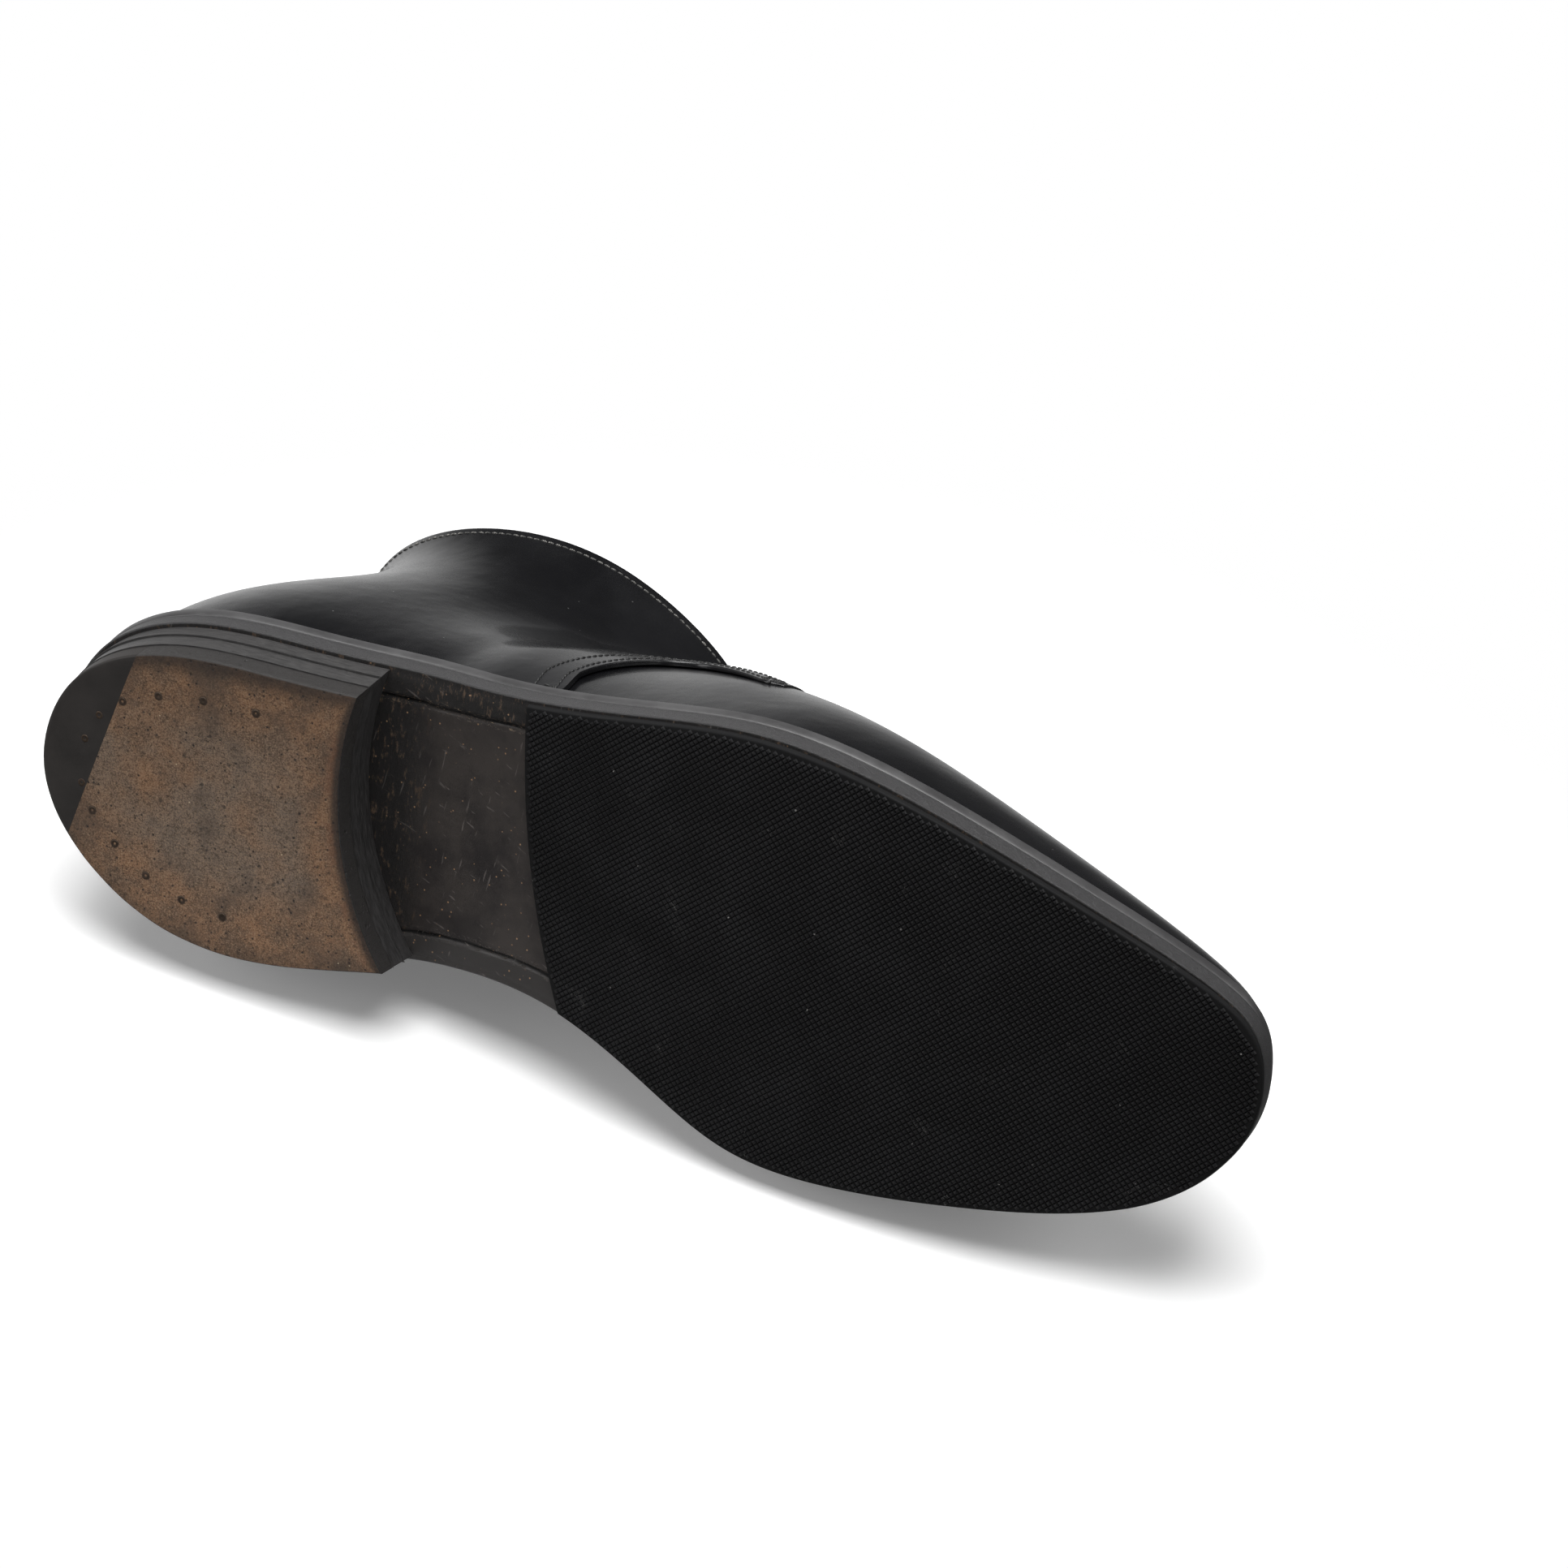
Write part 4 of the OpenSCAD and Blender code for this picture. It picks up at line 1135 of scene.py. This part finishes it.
def make_materials():
    """A finish for each slot, and three more that only visible pieces have: tread and threads."""
    calf("upper_leather", 1.0, (0.0030, 0.0030, 0.0038), (0.0050, 0.0050, 0.0060), 0.24)
    calf("lining_leather", 1.5, (0.040, 0.034, 0.030), (0.060, 0.050, 0.043), 0.55)
    bark("stiffener", (0.42, 0.27, 0.14), (0.28, 0.17, 0.09), 1.0, 0.75)
    metal("eyelet_metal", (0.05, 0.05, 0.055), 0.3, (0.03, 0.028, 0.026))
    bark("insole_leather", (0.45, 0.29, 0.16), (0.34, 0.20, 0.11), 0.8, 0.6)
    cork("cork")
    metal("shank_steel", (0.45, 0.45, 0.46), 0.35, (0.20, 0.16, 0.13))
    welt_edge("welt_leather")
    outsole_leather("sole_leather")
    # painted shade: sole_rubber is a much darker copy of the tread's rubber, so the slab between
    # the studs reads as shade and the tread's studs as lit
    rubber("sole_rubber", (0.0015, 0.0015, 0.0018), (0.0025, 0.0025, 0.003), 0.8)
    rubber("tread", (0.0075, 0.0075, 0.008), (0.010, 0.010, 0.011), 0.40)
    heel_wall("heel_leather")
    leatherboard("leatherboard")
    rubber("tip_rubber", (0.020, 0.018, 0.017), (0.030, 0.026, 0.024), 0.5)
    metal("nail_steel", (0.12, 0.09, 0.07), 0.5, (0.06, 0.04, 0.03))
    # the pale tones of both threads are painted glints on their ridges
    thread("thread", (0.010, 0.010, 0.010), (0.05, 0.05, 0.05), 0.45)
    thread("top_thread", (0.045, 0.045, 0.043), (0.30, 0.29, 0.27), 0.5)


def dress_cad():
    """The CAD nodes that stay get the finish of their slot."""
    for part in frame["record"]["subparts"]:
        node = frame["nodes"].get(part["node"])
        if node is not None:
            for k in range(len(node.material_slots)):
                node.material_slots[k].material = materials[part["material_slot"]]


make_materials()
make_all()
dress_cad()


# ------------------------------------------------------------------ stage and light
MIDDLE = np.array([0.0, 0.0, 0.05])         # what the lamps face, in metres


def shapes():
    """Every vertex of the boot's pieces, in metres."""
    parts = []
    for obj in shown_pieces():
        v = np.empty(len(obj.data.vertices) * 3)
        obj.data.vertices.foreach_get("co", v)
        parts.append(v.reshape(-1, 3))
    return np.vstack(parts)


def plane(name, centre, normal, half, material):
    """A square plane of half size round a centre, made of a grid so that it can fade out."""
    normal = unit(np.array(normal, float))
    a = unit(np.cross(normal, (0.3, 0.1, 1.0)))
    b = np.cross(normal, a)
    u, v = (g[..., None] for g in np.meshgrid(*[np.linspace(-half, half, 9)] * 2, indexing="ij"))
    mesh = bpy.data.meshes.new(name)
    mesh.from_pydata((np.array(centre) + u * a + v * b).reshape(-1, 3).tolist(), [],
                     grid_faces(9, 9).tolist())
    mesh.materials.append(materials[material])
    obj = add(name, mesh)
    obj.visible_glossy = obj.visible_shadow = False
    return obj


def paper(name, centre, reach, glow):
    """White paper seen from its front only, fading out round its centre."""
    f = Finish(name)
    offset = f.node("ShaderNodeVectorMath", {"operation": "SUBTRACT"}, {
        0: f.place, 1: tuple(float(c) / MM for c in centre)})
    away = f.node("ShaderNodeVectorMath", {"operation": "LENGTH"}, {0: offset}, "Value")
    back = f.node("ShaderNodeNewGeometry", out="Backfacing")
    tooth = f.noise(0.8, 3.0)
    f.done(Base_Color=f.mix(tooth, (0.93, 0.93, 0.93), (0.95, 0.95, 0.95)),
           Roughness=0.9, Specular_IOR_Level=0.0, Emission_Color=(1.0, 1.0, 1.0),
           Emission_Strength=glow, Alpha=away.below(reach * 0.65, reach) * (1.0 - back))
    return name


def lying_plane():
    """Normal and a point of the floor that the boot lies on: it meets the ball's and the heel's
    inner edge and the ankle's inner side."""
    low = edge(np.array([5.1, 10.3]), 0.0, 2.0)
    low = lifted(low, sole_z(low[:, 0]) + 2.0)
    ankle = layer(np.array([9.9]), np.array([0.97]), np.array([0.4]))
    a, b, c = (np.vstack([low, ankle]) - BOX_CENTRE) * MM
    normal = unit(np.cross(b - a, c - a))
    normal = normal if normal[1] < 0 else -normal
    return normal, normal * (shapes() @ normal).min()


def lamp(name, towards, distance, size, radiance):
    """Soft box at a direction and distance from the boot's middle, facing it."""
    data = bpy.data.lights.new(name, "AREA")
    data.shape, data.size, data.size_y = "RECTANGLE", *size
    data.energy = radiance * np.pi * size[0] * size[1]
    obj = add(name, data)
    towards = Vector(towards).normalized()
    obj.location = Vector(MIDDLE) + towards * distance
    obj.rotation_mode = "QUATERNION"
    obj.rotation_quaternion = towards.to_track_quat("Z", "Y")
    obj.visible_camera = False


def lighting():
    """White surroundings for the eye, dim ones for the light, and large soft boxes."""
    world = bpy.data.worlds.new("studio")
    bpy.context.scene.world = world
    world.use_nodes = True
    n = Nodes(world.node_tree)
    n.nodes.remove(n.nodes["Background"])
    right, up, near = UP.cross(-LOOK), UP.copy(), -LOOK
    slope = n.node("ShaderNodeVectorMath", {"operation": "DOT_PRODUCT"}, {
        0: n.node("ShaderNodeTexCoord", out="Generated"),
        1: tuple((LOOK - right * 0.6).normalized())}, "Value")
    dim, bright = (n.node("ShaderNodeBackground", None, {"Color": (1.0, 1.0, 1.0), "Strength": v})
                   for v in (slope.between(0.5, 0.95, 0.07, 0.75), 1.0))
    seen = n.node("ShaderNodeMixShader", None, {
        0: n.node("ShaderNodeLightPath", out="Is Camera Ray"), 1: dim, 2: bright})
    n.links.new(seen.socket, n.nodes["World Output"].inputs["Surface"])
    normal, point = lying_plane()
    centre = point + (MIDDLE - normal * (MIDDLE @ normal))
    plane("floor_lying", centre, normal, 0.3, paper("paper_lying", centre, 270.0, 0.15))
    stand = plane("floor_standing", (0, 0, -0.0002), (0, 0, 1), 0.4,
                  paper("paper_standing", (0, 0, 0), 360.0, 0.5))
    stand.visible_diffuse = False
    lamp("key", up + near * 0.45, 1.1, (1.3, 0.55), 4.5)
    lamp("fill_left", up * 0.35 - right + near * 0.5, 1.1, (0.45, 0.8), 2.4)
    lamp("fill_right", up * 0.45 + right + near * 0.4, 1.1, (0.4, 0.8), 2.4)
    lamp("inner_side", -up + near * 0.1, 1.2, (0.9, 0.5), 1.2)
    lamp("front", up * 0.9 + near * 1.1, 1.2, (0.9, 0.55), 7.0)


lighting()
bpy.context.scene.view_settings.view_transform = "Standard"
